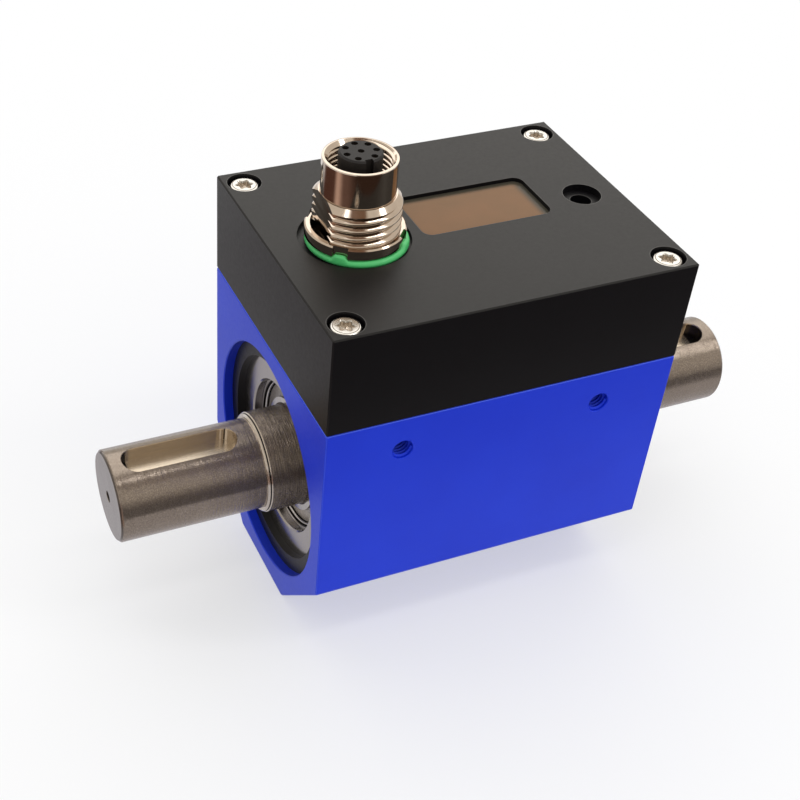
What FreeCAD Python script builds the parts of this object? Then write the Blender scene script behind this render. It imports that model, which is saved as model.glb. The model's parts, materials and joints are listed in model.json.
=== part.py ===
import FreeCAD, Part
import math
import os

# Rotary torque sensor. Millimetres. X runs along the shaft, Z is up, and the front is -Y.
# The origin is the middle of the flat underside. "left" is the -X end, "right" is the +X end.

# Fits: radial or one-sided clearances
press_gap = 0.02
slip_gap = 0.05
roll_gap = 0.03
slide_gap = 0.08

# How far a block that cuts or joins reaches past the surface
spare = 1.0

# Housing, with its walls where they are thinnest round the end recess
body_length = 70.0
side_wall = 4.0
floor_wall = 4.0
roof_wall = 4.0
chamfer_wall = 3.87
edge_break = 0.25

# Cover
cover_height = 20.0
cover_wall = 3.0
cover_plate = 3.2

# Ends of the housing, as depths from the end face inwards
recess_depth = 2.0
recess_break = 0.2
end_ring_width = 1.5
end_ring_height = 3.1
carrier_lip = 2.0
carrier_lip_height = 0.8
carrier_hole_break = 0.3
core_step = 1.5

# Ball bearings
bearing_bore_radius = 10.0
bearing_break = 0.3
ball_radius = 1.75
ball_count = 12
race_depth = 0.55
inner_face_height = 1.4
inner_land_step = 0.4
outer_face_height = 1.25
outer_land_step = 0.55
shield_thickness = 0.3
shield_gap = 0.2
shield_cage_gap = 0.25
shield_wire_sunk = 0.24
shield_wire_radius = 0.28
shield_wire_gap_angle = 8.0
shield_wire_gap_at = 118.0
cage_thickness = 1.5
cage_rim = 0.35

# Torsion shaft
shaft_seat_reach = 2.0
shaft_end_step = 1.0
shaft_end_reach = 31.5
shaft_end_break = 0.5
seat_end_break = 0.2
groove_depth = 0.15
groove_width = 0.2
shoulder_cone = 0.4
collar_step = 1.5
collar_length = 14.5
torsion_radius = 7.5
torsion_fillet = 2.0
centre_hole_radius = 0.8
centre_cone_radius = 1.2
centre_hole_depth = 3.0
centre_cone_angle = 30.0
keyway_width = 6.0
keyway_depth = 3.5
keyway_length = 22.6
keyway_end_wall = 2.65
keyway_tilt = 7.0

# Strain gauges and their leads
gauge_count = 4
gauge_length = 4.4
gauge_angle = 40.0
gauge_thickness = 0.12
gauge_lead_radius = 0.2
gauge_lead_height = 0.6

# Rotor and stator windings, and the rotor board
stator_end_gap = 1.0
rotor_width = 8.0
rotor_flange_height = 4.5
former_wall = 1.1
former_flange = 1.0
winding_rim = 0.5
stator_winding_height = 3.6
air_gap = 0.8
stator_overhang = 1.0
rotor_board_gap = 1.1
rotor_board_thickness = 1.0
rotor_board_height = 4.0
rotor_chip_length = 3.0
rotor_chip_width = 1.8
rotor_chip_height = 0.9

# Speed disc and its pickup
disc_setback = 7.75
disc_thickness = 1.5
disc_height = 5.5
disc_slots = 24
disc_slot_width = 1.2
disc_slot_depth = 2.0
fork_gap = 0.8
fork_leg = 1.8
fork_width = 10.0
fork_overlap = 2.2
fork_top_gap = 0.8
pickup_flange_end = 1.4
pickup_flange_height = 1.5
pickup_flange_lip = 1.4
pickup_screw_gap = 1.6
pickup_screw_length = 4.0
pickup_pin_radius = 0.32
pickup_pin_pitch = 2.0
pickup_pin_offset = 2.6

# Threaded holes in the front, and cover screws
front_hole_spacing = 40.0
front_hole_above_axis = 20.5
front_hole_radius = 2.0
front_hole_depth = 8.0
front_hole_break = 0.15
cover_screw_inset = 4.0
cover_screw_radius = 1.5
cover_screw_length = 25.0
screw_tip_share = 0.3
cover_screw_head_radius = 2.9
cover_screw_head_height = 3.0
cover_screw_head_break = 0.3
cover_screw_sunk = 0.4
cover_screw_clearance = 0.2
counterbore_radius = 3.2
socket_radius = 1.15
socket_lobe_radius = 0.38
socket_depth = 1.5
column_radius = 4.2

# Cover seal
seal_thickness = 0.5
seal_inset = 1.0
seal_band = 2.5

# Round cable connector, heights from the top of the cover
connector_from_end = 15.9
connector_y = 0.0
connector_recess_gap = 1.2
connector_recess_depth = 0.9
connector_thread_radius = 8.0
connector_thread_depth = 0.85
connector_thread_pitch = 1.5
connector_thread_top = 8.2
connector_flat_depth = 1.4
connector_foot_inset = 1.1
connector_barrel_inset = 0.25
connector_foot_step = 0.3
connector_rim = 15.85
connector_rim_wall = 0.5
connector_rim_break = 0.25
connector_crest_wall = 1.2
connector_root_wall = 0.7
connector_inner_pitch = 1.0
connector_inner_turns = 7
connector_floor = 7.5
connector_core_wall = 0.65
connector_flange_rim = 2.0
connector_flange_height = 2.0
nut_wall = 1.0
nut_bottom = 0.6
nut_top = 2.75
nut_notches = 4
nut_notch_width = 2.75
nut_notch_depth = 0.65
nut_notch_at = -131.0
nut_break = 0.25
o_ring_radius = 0.75
insert_radius = 3.85
insert_top = 16.7
insert_break = 0.3
insert_foot = 0.7
key_notch_width = 1.4
key_notch_depth = 0.8
key_notch_at = -90.0
contact_ring = 7
contact_ring_radius = 2.75
contact_first = -56.5
contact_gap = 67.0
contact_hole_radius = 0.6
contact_sleeve_gap = 0.06
contact_sleeve_wall = 0.14
contact_sleeve_depth = 6.5
contact_sleeve_floor = 0.5
contact_sunk = 0.6
contact_tail_radius = 0.4
contact_tail_reach = 0.9

# Display window, between the connector and the button
window_from_connector = 12.1
window_from_button = 8.2
window_front = -3.95
window_back = 9.55
window_corner = 1.9
window_depth = 0.75
window_thickness = 1.0
window_ledge = 1.0
screen_rim = 0.5
screen_gap = 0.1
module_margin = 1.5
module_thickness = 2.8
header_length = 18.0
header_width = 2.5
header_spacing = 10.0

# Main board, hung on posts under the cover
board_drop = 10.2
board_thickness = 1.6
board_end_gap = 1.0
board_side_gap = 0.3
post_end_inset = 6.0
post_side_inset = 3.0
post_radius = 2.5
board_screw_radius = 1.0
board_screw_length = 6.0
board_screw_head_radius = 1.9
board_screw_head_height = 1.4
board_screw_head_break = 0.2
small_socket_radius = 0.65
small_socket_depth = 0.7
chip_row = 12.5
chip_spacing = 12.5
processor_size = 7.0
converter_size = 5.5
regulator_size = 4.5
crystal_size = 3.5
chip_height = 1.4

# Push button under its hole in the cover
button_from_end = 7.65
button_y = 0.0
button_recess_radius = 3.6
button_recess_depth = 1.35
button_hole_radius = 1.98
button_sunk = 1.8
button_break = 0.3
button_travel = 0.4
button_collar_radius = 2.9
button_collar_height = 1.0
boss_radius = 3.4
boss_length = 3.6
switch_size = 6.0
switch_height = 3.4
switch_stem_radius = 1.65

# Stator leads, their grommet and plug
lead_y = 8.0
lead_radius = 0.4
lead_pitch = 1.4
grommet_radius = 3.0
grommet_bore = 1.6
grommet_flange_radius = 4.0
grommet_flange_height = 1.0
grommet_lift = 0.5
plug_length = 5.0
plug_width = 4.0
plug_height = 3.0
plug_break = 0.3

# Levels and places worked out from the sizes above
full_turn = 360.0
end_x = body_length / 2
shaft_end_radius = bearing_bore_radius - shaft_end_step
collar_radius = bearing_bore_radius + collar_step
rotor_flange_radius = collar_radius + rotor_flange_height
rotor_board_radius = collar_radius + rotor_board_height
disc_radius = collar_radius + disc_height
stator_inner_radius = rotor_flange_radius + air_gap
stator_winding_radius = stator_inner_radius + former_wall + stator_winding_height
core_radius = stator_winding_radius + winding_rim
recess_radius = core_radius + core_step
half_width = recess_radius + side_wall
axis_height = recess_radius + floor_wall
housing_height = axis_height + recess_radius + roof_wall
bottom_chamfer = half_width + axis_height - math.sqrt(2) * (recess_radius + chamfer_wall)
cover_top = housing_height + cover_height
plate_underside = cover_top - cover_plate
seal_level = housing_height - seal_thickness
ring_outer_x = end_x - recess_depth
carrier_outer_x = ring_outer_x - end_ring_width
bearing_outer_x = carrier_outer_x - carrier_lip
inner_face_radius = bearing_bore_radius + inner_face_height
inner_land_radius = inner_face_radius + inner_land_step
outer_land_radius = inner_land_radius + 2 * (ball_radius - race_depth)
outer_face_radius = outer_land_radius + outer_land_step
bearing_outer_radius = outer_face_radius + outer_face_height
ball_pitch_radius = (inner_land_radius + outer_land_radius) / 2
race_radius = ball_radius + roll_gap
cage_width = 2 * (ball_radius + slip_gap + cage_rim)
shield_seat_depth = shield_thickness + 2 * shield_wire_radius + shield_wire_sunk
bearing_width = cage_width + 2 * (shield_seat_depth + shield_cage_gap)
bearing_inner_x = bearing_outer_x - bearing_width
bearing_centre = (bearing_outer_x + bearing_inner_x) / 2
collar_inner = bearing_inner_x - collar_length
seat_outer_x = end_x + shaft_seat_reach
shaft_tip = end_x + shaft_end_reach
stator_left = -bearing_inner_x + stator_end_gap
rotor_left = stator_left + stator_overhang
rotor_right = rotor_left + rotor_width
stator_right = rotor_right + stator_overhang
rotor_board_x = rotor_right + rotor_board_gap
disc_centre = bearing_inner_x - disc_setback
fork_left = disc_centre - disc_thickness / 2 - fork_gap - fork_leg
fork_right = disc_centre + disc_thickness / 2 + fork_gap + fork_leg
fork_bottom = axis_height + disc_radius - fork_overlap
fork_slot_top = axis_height + disc_radius + fork_top_gap
pickup_screw_y = fork_width / 2 + pickup_screw_gap
pickup_flange_half = pickup_screw_y + pickup_flange_end
board_top = plate_underside - board_drop
board_bottom = board_top - board_thickness
screw_x = end_x - cover_screw_inset
screw_y = half_width - cover_screw_inset
screw_head_top = cover_top - cover_screw_sunk
screw_head_bottom = screw_head_top - cover_screw_head_height
column_places = [(sx * screw_x, sy * screw_y) for sx in (-1, 1) for sy in (-1, 1)]
board_half_length = end_x - cover_wall - board_end_gap
board_half_width = screw_y - column_radius - board_side_gap
post_x = board_half_length - post_end_inset
post_y = board_half_width - post_side_inset
post_places = [(sx * post_x, sy * post_y) for sx in (-1, 1) for sy in (-1, 1)]
button_x = end_x - button_from_end
connector_x = -end_x + connector_from_end
connector_thread_root = connector_thread_radius - connector_thread_depth
connector_flange_radius = connector_thread_radius + connector_flange_rim
connector_foot_radius = connector_thread_radius - connector_foot_inset
connector_barrel_radius = connector_foot_radius - connector_barrel_inset
connector_rim_radius = connector_barrel_radius - connector_rim_wall
connector_inner_crest = connector_barrel_radius - connector_crest_wall
connector_inner_root = connector_barrel_radius - connector_root_wall
connector_core_radius = connector_barrel_radius - connector_core_wall
nut_radius = connector_thread_radius + nut_wall
window_left = connector_x + window_from_connector
window_right = button_x - window_from_button
window_middle_x = (window_left + window_right) / 2
window_middle_y = (window_front + window_back) / 2
window_pocket = cover_top - window_depth - window_thickness
module_bottom = plate_underside - module_thickness
button_floor = cover_top - button_recess_depth
button_top = button_floor - button_sunk
boss_bottom = plate_underside - boss_length
collar_top = boss_bottom - slip_gap
collar_bottom = collar_top - button_collar_height
switch_top = board_top + switch_height
lead_x = (stator_left + stator_right) / 2
plug_bottom = board_bottom - plug_height
pickup_flange_top = housing_height + pickup_flange_height
pickup_pin_x = disc_centre + pickup_pin_offset


def point(x, y, z):
    return FreeCAD.Vector(x, y, z)


def block(x0, x1, y0, y1, z0, z1):
    return Part.makeBox(x1 - x0, y1 - y0, z1 - z0, point(x0, y0, z0))


def rod_x(radius, x0, x1):
    return Part.makeCylinder(radius, x1 - x0, point(x0, 0, axis_height), point(1, 0, 0))


def tube_x(outer, inner, x0, x1):
    return rod_x(outer, x0, x1).cut(rod_x(inner, x0, x1))


def rod_z(radius, x, y, z0, z1):
    return Part.makeCylinder(radius, z1 - z0, point(x, y, z0))


def tube_z(outer, inner, x, y, z0, z1):
    return rod_z(outer, x, y, z0, z1).cut(rod_z(inner, x, y, z0, z1))


def turned_x(outline):
    """A solid turned about the shaft axis from an outline of (x, radius) points."""
    corners = [point(x, 0, axis_height + radius) for x, radius in outline]
    face = Part.Face(Part.makePolygon(corners + corners[:1]))
    return face.revolve(point(0, 0, axis_height), point(1, 0, 0), full_turn)


def turned_z(outline, x, y):
    """A solid turned about a vertical axis at x, y from an outline of (radius, z) points."""
    corners = [point(x + radius, y, z) for radius, z in outline]
    face = Part.Face(Part.makePolygon(corners + corners[:1]))
    return face.revolve(point(x, y, 0), point(0, 0, 1), full_turn)


def about_axis(shape, angle):
    return shape.rotated(point(0, 0, axis_height), point(1, 0, 0), angle)


def about_vertical(shape, x, y, angle):
    return shape.rotated(point(x, y, 0), point(0, 0, 1), angle)


def mirrored(shape):
    return shape.mirror(point(0, 0, 0), point(1, 0, 0))


def fused(shapes):
    return shapes[0].multiFuse(shapes[1:]).removeSplitter()


def rounded_slab(x0, x1, y0, y1, corner, z0, z1):
    slab = block(x0, x1, y0, y1, z0, z1)
    upright = [e for e in slab.Edges if abs(e.tangentAt(e.FirstParameter).z) > 0.9]
    return slab.makeFillet(corner, upright)


def hexalobular_socket(radius, lobe, x, y, top, depth):
    """The six-lobed recess for a driver."""
    lobes = []
    for step in range(6):
        turn = math.radians(60 * step)
        lobes.append(rod_z(lobe, x + radius * math.cos(turn), y + radius * math.sin(turn), top - depth, top))
    return fused([rod_z(radius, x, y, top - depth, top)] + lobes)


def cap_screw(x, y, head_bottom, radius, length, head_radius, head_height, head_break):
    head_top = head_bottom + head_height
    tip = head_bottom - length
    tip_break = radius * screw_tip_share
    outline = [(0, tip), (radius - tip_break, tip), (radius, tip + tip_break), (radius, head_bottom),
               (head_radius, head_bottom), (head_radius, head_top - head_break),
               (head_radius - head_break, head_top), (0, head_top)]
    return turned_z(outline, x, y)


# Housing

def housing_prism():
    flat = half_width - bottom_chamfer
    corners = [(-flat, 0), (flat, 0), (half_width, bottom_chamfer), (half_width, housing_height),
               (-half_width, housing_height), (-half_width, bottom_chamfer)]
    ring = [point(-end_x, y, z) for y, z in corners]
    prism = Part.Face(Part.makePolygon(ring + ring[:1])).extrude(point(body_length, 0, 0))
    return prism.makeChamfer(edge_break, prism.Edges)


def seal_outline(inset, band, hole, z0, z1):
    """The band round the joint between housing and cover, with a pad at each screw."""
    outer_x = end_x - inset
    outer_y = half_width - inset
    sheet = block(-outer_x, outer_x, -outer_y, outer_y, z0, z1)
    inner = block(-outer_x + band, outer_x - band, -outer_y + band, outer_y - band, z0, z1)
    pads = [rod_z(column_radius, x, y, z0, z1).common(sheet) for x, y in column_places]
    shape = fused([sheet.cut(inner)] + pads)
    if hole:
        shape = shape.cut([rod_z(hole, x, y, z0, z1) for x, y in column_places])
    return shape


def front_hole(x):
    z = axis_height + front_hole_above_axis
    face_y = -half_width
    drill = Part.makeCylinder(front_hole_radius, front_hole_depth, point(x, face_y, z), point(0, 1, 0))
    cone = Part.makeCone(front_hole_radius + front_hole_break, front_hole_radius, front_hole_break,
                         point(x, face_y, z), point(0, 1, 0))
    tip = Part.makeCone(front_hole_radius, 0, front_hole_radius / 2,
                        point(x, face_y + front_hole_depth, z), point(0, 1, 0))
    return [drill, cone, tip]


def housing():
    shape = housing_prism()
    mouth = recess_radius + recess_break
    end_bore = turned_x([(bearing_inner_x, 0), (end_x, 0), (end_x, mouth),
                         (end_x - recess_break, recess_radius), (bearing_inner_x, recess_radius)])
    cuts = [end_bore, mirrored(end_bore), rod_x(core_radius, -bearing_inner_x, bearing_inner_x)]
    cuts.append(seal_outline(seal_inset - slip_gap, seal_band + 2 * slip_gap, 0, seal_level, housing_height))
    screw_tip = screw_head_bottom - cover_screw_length
    for x, y in column_places:
        cuts.append(rod_z(cover_screw_radius + press_gap, x, y, screw_tip - spare, housing_height))
    for x in (-front_hole_spacing / 2, front_hole_spacing / 2):
        cuts += front_hole(x)
    cuts.append(rod_z(grommet_radius, lead_x, lead_y, axis_height, housing_height))
    cuts.append(block(fork_left - slip_gap, fork_right + slip_gap, -fork_width / 2 - slip_gap,
                      fork_width / 2 + slip_gap, axis_height, housing_height))
    for y in (-pickup_screw_y, pickup_screw_y):
        cuts.append(rod_z(board_screw_radius + press_gap, disc_centre, y,
                          housing_height - pickup_screw_length, housing_height))
    return shape.cut(cuts)


# Cover

def cover():
    shape = block(-end_x, end_x, -half_width, half_width, housing_height, cover_top)
    shape = shape.makeChamfer(edge_break, shape.Edges)
    inner_x = end_x - cover_wall
    inner_y = half_width - cover_wall
    shape = shape.cut(block(-inner_x, inner_x, -inner_y, inner_y, housing_height, plate_underside))
    envelope = block(-inner_x - spare, inner_x + spare, -inner_y - spare, inner_y + spare,
                     housing_height, plate_underside)
    columns = [rod_z(column_radius, x, y, housing_height, plate_underside).common(envelope)
               for x, y in column_places]
    posts = [rod_z(post_radius, x, y, board_top, plate_underside) for x, y in post_places]
    boss = rod_z(boss_radius, button_x, button_y, boss_bottom, plate_underside)
    shape = fused([shape] + columns + posts + [boss])
    return shape.cut(cover_cuts())


def cover_cuts():
    cuts = []
    for x, y in column_places:
        cuts.append(rod_z(cover_screw_radius + cover_screw_clearance, x, y, housing_height, cover_top))
        cuts.append(rod_z(counterbore_radius, x, y, screw_head_bottom, cover_top))
    for x, y in post_places:
        cuts.append(rod_z(board_screw_radius + press_gap, x, y, board_top, board_top + board_screw_length))
    cuts.append(rod_z(nut_radius + connector_recess_gap, connector_x, connector_y,
                      cover_top - connector_recess_depth, cover_top))
    cuts.append(connector_panel_hole())
    cuts.append(window_slab(0, window_pocket, cover_top))
    cuts.append(window_slab(window_ledge, plate_underside, window_pocket))
    cuts.append(rod_z(button_recess_radius, button_x, button_y, button_floor, cover_top))
    cuts.append(rod_z(button_hole_radius, button_x, button_y, boss_bottom, cover_top))
    return cuts


def connector_panel_hole():
    radius = connector_thread_radius + slip_gap
    hole = rod_z(radius, connector_x, connector_y, plate_underside, cover_top)
    flat = connector_flat_x() - slip_gap
    return hole.cut(block(flat - radius, flat, connector_y - radius, connector_y + radius,
                          plate_underside, cover_top))


def connector_flat_x():
    return connector_x - connector_thread_radius + connector_flat_depth


def window_slab(inset, z0, z1):
    return rounded_slab(window_left + inset, window_right - inset, window_front + inset,
                        window_back - inset, window_corner - inset / 2, z0, z1)


def cover_seal():
    return seal_outline(seal_inset, seal_band, cover_screw_radius + cover_screw_clearance,
                        seal_level, housing_height)


def cover_screws():
    screws = []
    for x, y in column_places:
        screw = cap_screw(x, y, screw_head_bottom, cover_screw_radius, cover_screw_length,
                          cover_screw_head_radius, cover_screw_head_height, cover_screw_head_break)
        screws.append(screw.cut(hexalobular_socket(socket_radius, socket_lobe_radius, x, y,
                                                   screw_head_top, socket_depth)))
    return Part.makeCompound(screws)


# Pieces in each end of the housing, built for the right end

def end_ring():
    return tube_x(recess_radius - press_gap, recess_radius - end_ring_height, carrier_outer_x, ring_outer_x)


def bearing_carrier():
    outer = recess_radius - press_gap
    seat = bearing_outer_radius + press_gap
    hole = bearing_outer_radius - carrier_lip_height
    return turned_x([(bearing_inner_x, seat), (bearing_inner_x, outer), (carrier_outer_x, outer),
                     (carrier_outer_x, hole + carrier_hole_break),
                     (carrier_outer_x - carrier_hole_break, hole), (bearing_outer_x, hole),
                     (bearing_outer_x, seat)])


def race_groove():
    """The ring-shaped space in which the balls run."""
    section = Part.makeCircle(race_radius, point(bearing_centre, 0, axis_height + ball_pitch_radius),
                              point(0, 1, 0))
    face = Part.Face(Part.Wire(section))
    return face.revolve(point(0, 0, axis_height), point(1, 0, 0), full_turn)


def outer_ring():
    r = bearing_outer_radius
    x0 = bearing_inner_x
    x1 = bearing_outer_x
    b = bearing_break
    d = shield_seat_depth
    blank = turned_x([(x0, outer_face_radius), (x0, r - b), (x0 + b, r), (x1 - b, r), (x1, r - b),
                      (x1, outer_face_radius), (x1 - d, outer_face_radius), (x1 - d, outer_land_radius),
                      (x0 + d, outer_land_radius), (x0 + d, outer_face_radius)])
    return blank.cut(race_groove())


def inner_ring():
    r = bearing_bore_radius + press_gap
    x0 = bearing_inner_x
    x1 = bearing_outer_x
    b = bearing_break
    d = shield_seat_depth
    blank = turned_x([(x0, r + b), (x0, inner_face_radius), (x0 + d, inner_face_radius),
                      (x0 + d, inner_land_radius), (x1 - d, inner_land_radius), (x1 - d, inner_face_radius),
                      (x1, inner_face_radius), (x1, r + b), (x1 - b, r), (x0 + b, r)])
    return blank.cut(race_groove())


def ball_places():
    return [full_turn * step / ball_count for step in range(ball_count)]


def balls():
    top = point(bearing_centre, 0, axis_height + ball_pitch_radius)
    ball = Part.makeSphere(ball_radius, top)
    return Part.makeCompound([about_axis(ball, angle) for angle in ball_places()])


def cage():
    ring = tube_x(ball_pitch_radius + cage_thickness / 2, ball_pitch_radius - cage_thickness / 2,
                  bearing_centre - cage_width / 2, bearing_centre + cage_width / 2)
    pocket = Part.makeSphere(ball_radius + slip_gap,
                             point(bearing_centre, 0, axis_height + ball_pitch_radius))
    return ring.cut([about_axis(pocket, angle) for angle in ball_places()])


def shields():
    seat = outer_face_radius - press_gap
    outer_side = bearing_outer_x - shield_seat_depth
    inner_side = bearing_inner_x + shield_seat_depth
    hole = inner_face_radius + shield_gap
    outer_shield = tube_x(seat, hole, outer_side, outer_side + shield_thickness)
    inner_shield = tube_x(seat, hole, inner_side - shield_thickness, inner_side)
    return Part.makeCompound([outer_shield, inner_shield])


def shield_wire(x):
    """A split ring of round wire that holds a shield in its seat."""
    centre_radius = outer_face_radius - press_gap - shield_wire_radius
    section = Part.makeCircle(shield_wire_radius, point(x, 0, axis_height + centre_radius), point(0, 1, 0))
    sweep = full_turn - shield_wire_gap_angle
    wire = Part.Face(Part.Wire(section)).revolve(point(0, 0, axis_height), point(1, 0, 0), sweep)
    return about_axis(wire, shield_wire_gap_at)


def shield_wires():
    offset = shield_seat_depth - shield_thickness - shield_wire_radius
    return Part.makeCompound([shield_wire(bearing_outer_x - offset), shield_wire(bearing_inner_x + offset)])


# Shaft

def shaft_outline():
    """Half of the shaft's outline, from its middle to its tip."""
    cone_x = seat_outer_x + seat_end_break + groove_width
    step = bearing_bore_radius - seat_end_break
    groove = step - groove_depth
    foot = step - shoulder_cone
    return [(collar_inner, collar_radius), (bearing_inner_x, collar_radius),
            (bearing_inner_x, bearing_bore_radius), (seat_outer_x, bearing_bore_radius),
            (seat_outer_x + seat_end_break, step), (seat_outer_x + seat_end_break, groove),
            (cone_x, groove), (cone_x, step), (cone_x + shoulder_cone, foot),
            (cone_x + shoulder_cone, shaft_end_radius), (shaft_tip - shaft_end_break, shaft_end_radius),
            (shaft_tip, shaft_end_radius - shaft_end_break)]


def keyway():
    half = keyway_width / 2
    outer = shaft_tip - keyway_end_wall
    inner = outer - keyway_length
    floor = axis_height + shaft_end_radius - keyway_depth
    top = floor + shaft_end_radius
    slot = fused([block(inner + half, outer - half, -half, half, floor, top),
                  rod_z(half, inner + half, 0, floor, top), rod_z(half, outer - half, 0, floor, top)])
    return about_axis(slot, keyway_tilt)


def centre_hole():
    hole = rod_x(centre_hole_radius, shaft_tip - centre_hole_depth, shaft_tip)
    cone_depth = (centre_cone_radius - centre_hole_radius) / math.tan(math.radians(centre_cone_angle))
    cone = Part.makeCone(centre_hole_radius, centre_cone_radius, cone_depth,
                         point(shaft_tip - cone_depth, 0, axis_height), point(1, 0, 0))
    return hole.fuse(cone)


def torsion_shaft():
    half = shaft_outline()
    neck = collar_inner - torsion_fillet
    left = [(-x, radius) for x, radius in reversed(half)]
    outline = [(-shaft_tip, 0)] + left + [(-collar_inner, torsion_radius), (collar_inner, torsion_radius)]
    outline += half + [(shaft_tip, 0)]
    shape = turned_x(outline)
    shape = fused([shape, neck_fillet(neck), mirrored(neck_fillet(neck))])
    return shape.cut([keyway(), mirrored(keyway()), centre_hole(), mirrored(centre_hole())])


def neck_fillet(neck):
    """The round root where the thin middle of the shaft grows into its collar."""
    r = torsion_fillet
    low = torsion_radius
    sink = 0.5
    a = point(neck, 0, axis_height + low)
    diagonal = r * (1 - math.cos(math.radians(45)))
    b = point(neck + r * math.sin(math.radians(45)), 0, axis_height + low + diagonal)
    c = point(collar_inner, 0, axis_height + low + r)
    d = point(collar_inner, 0, axis_height + low - sink)
    e = point(neck, 0, axis_height + low - sink)
    arc = Part.Arc(a, b, c).toShape()
    lines = [Part.makeLine(c, d), Part.makeLine(d, e), Part.makeLine(e, a)]
    face = Part.Face(Part.Wire([arc] + lines))
    return face.revolve(point(0, 0, axis_height), point(1, 0, 0), full_turn)


def gauge_turns():
    return [full_turn * (step + 0.5) / gauge_count for step in range(gauge_count)]


def strain_gauges():
    inner = torsion_radius + press_gap
    outline = [(-gauge_length / 2, inner), (gauge_length / 2, inner),
               (gauge_length / 2, inner + gauge_thickness), (-gauge_length / 2, inner + gauge_thickness)]
    corners = [point(x, 0, axis_height + radius) for x, radius in outline]
    face = Part.Face(Part.makePolygon(corners + corners[:1]))
    patch = face.revolve(point(0, 0, axis_height), point(1, 0, 0), gauge_angle)
    return Part.makeCompound([about_axis(patch, turn - gauge_angle / 2) for turn in gauge_turns()])


def round_run(start, end, radius):
    run = end - start
    return Part.makeCylinder(radius, run.Length, start, run)


def gauge_leads():
    """One lead from each gauge up to the rotor board."""
    low = torsion_radius + press_gap + gauge_thickness + gauge_lead_radius + slip_gap
    high = collar_radius + gauge_lead_height
    start = point(-gauge_length / 3, 0, axis_height + low)
    bend = point(-collar_inner + gauge_lead_height, 0, axis_height + high)
    end = point(rotor_board_x + rotor_board_thickness, 0, axis_height + high)
    lead = fused([round_run(start, bend, gauge_lead_radius), Part.makeSphere(gauge_lead_radius, bend),
                  round_run(end, bend, gauge_lead_radius)])
    return Part.makeCompound([about_axis(lead, turn) for turn in gauge_turns()])


# Rotor and stator

def rotor_former():
    inner = collar_radius + press_gap
    hub = inner + former_wall
    rim = rotor_flange_radius
    return turned_x([(rotor_left, inner), (rotor_right, inner), (rotor_right, rim),
                     (rotor_right - former_flange, rim), (rotor_right - former_flange, hub),
                     (rotor_left + former_flange, hub), (rotor_left + former_flange, rim), (rotor_left, rim)])


def rotor_winding():
    hub = collar_radius + press_gap + former_wall
    return tube_x(rotor_flange_radius - winding_rim, hub + press_gap,
                  rotor_left + former_flange + press_gap, rotor_right - former_flange - press_gap)


def stator_former():
    outer = core_radius - press_gap
    hub = stator_inner_radius + former_wall
    return turned_x([(stator_left, stator_inner_radius), (stator_right, stator_inner_radius),
                     (stator_right, outer), (stator_right - former_flange, outer),
                     (stator_right - former_flange, hub), (stator_left + former_flange, hub),
                     (stator_left + former_flange, outer), (stator_left, outer)])


def stator_winding():
    hub = stator_inner_radius + former_wall
    return tube_x(stator_winding_radius, hub + press_gap,
                  stator_left + former_flange + press_gap, stator_right - former_flange - press_gap)


def rotor_board():
    face_x = rotor_board_x + rotor_board_thickness
    return tube_x(rotor_board_radius, collar_radius + press_gap, rotor_board_x, face_x)


def rotor_chips():
    face_x = rotor_board_x + rotor_board_thickness
    middle = axis_height + (rotor_board_radius + collar_radius) / 2
    chip = block(face_x, face_x + rotor_chip_height, -rotor_chip_length / 2, rotor_chip_length / 2,
                 middle - rotor_chip_width / 2, middle + rotor_chip_width / 2)
    return Part.makeCompound([about_axis(chip, turn + full_turn / gauge_count / 2)
                              for turn in gauge_turns()])


# Speed disc and pickup

def speed_disc():
    x0 = disc_centre - disc_thickness / 2
    x1 = disc_centre + disc_thickness / 2
    disc = tube_x(disc_radius, collar_radius + press_gap, x0, x1)
    slot = block(x0, x1, -disc_slot_width / 2, disc_slot_width / 2,
                 axis_height + disc_radius - disc_slot_depth, axis_height + disc_radius + spare)
    return disc.cut([about_axis(slot, full_turn * step / disc_slots) for step in range(disc_slots)])


def speed_pickup():
    """A fork round the disc's rim, on a flange on top of the housing."""
    half = fork_width / 2
    fork = block(fork_left, fork_right, -half, half, fork_bottom, housing_height)
    flange = block(fork_left - pickup_flange_lip, fork_right + pickup_flange_lip,
                   -pickup_flange_half, pickup_flange_half, housing_height, pickup_flange_top)
    slot = block(fork_left + fork_leg, fork_right - fork_leg, -half, half, fork_bottom, fork_slot_top)
    holes = [rod_z(board_screw_radius + slip_gap, disc_centre, y, housing_height, pickup_flange_top)
             for y in (-pickup_screw_y, pickup_screw_y)]
    holes += [rod_z(pickup_pin_radius, pickup_pin_x, y, housing_height, pickup_flange_top)
              for y in pickup_pin_rows()]
    return fused([fork, flange]).cut([slot] + holes)


def pickup_pin_rows():
    return [window_middle_y + step * pickup_pin_pitch for step in (-1, 0, 1)]


def pickup_pins():
    top = board_top + contact_tail_reach
    return Part.makeCompound([rod_z(pickup_pin_radius, pickup_pin_x, y, housing_height, top)
                              for y in pickup_pin_rows()])


def small_screw(x, y, seat, direction, length):
    """A small socket screw with its head's underside at seat, pointing down or up."""
    screw = cap_screw(x, y, seat, board_screw_radius, length, board_screw_head_radius,
                      board_screw_head_height, board_screw_head_break)
    top = seat + board_screw_head_height
    screw = screw.cut(hexalobular_socket(small_socket_radius, small_socket_radius / 3, x, y,
                                         top, small_socket_depth))
    if direction == "up":
        screw = screw.rotated(point(x, y, seat), point(1, 0, 0), 180)
    return screw


def pickup_screws():
    length = pickup_screw_length + pickup_flange_height - slip_gap
    return Part.makeCompound([small_screw(disc_centre, y, pickup_flange_top, "down", length)
                              for y in (-pickup_screw_y, pickup_screw_y)])


# Stator leads

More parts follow.
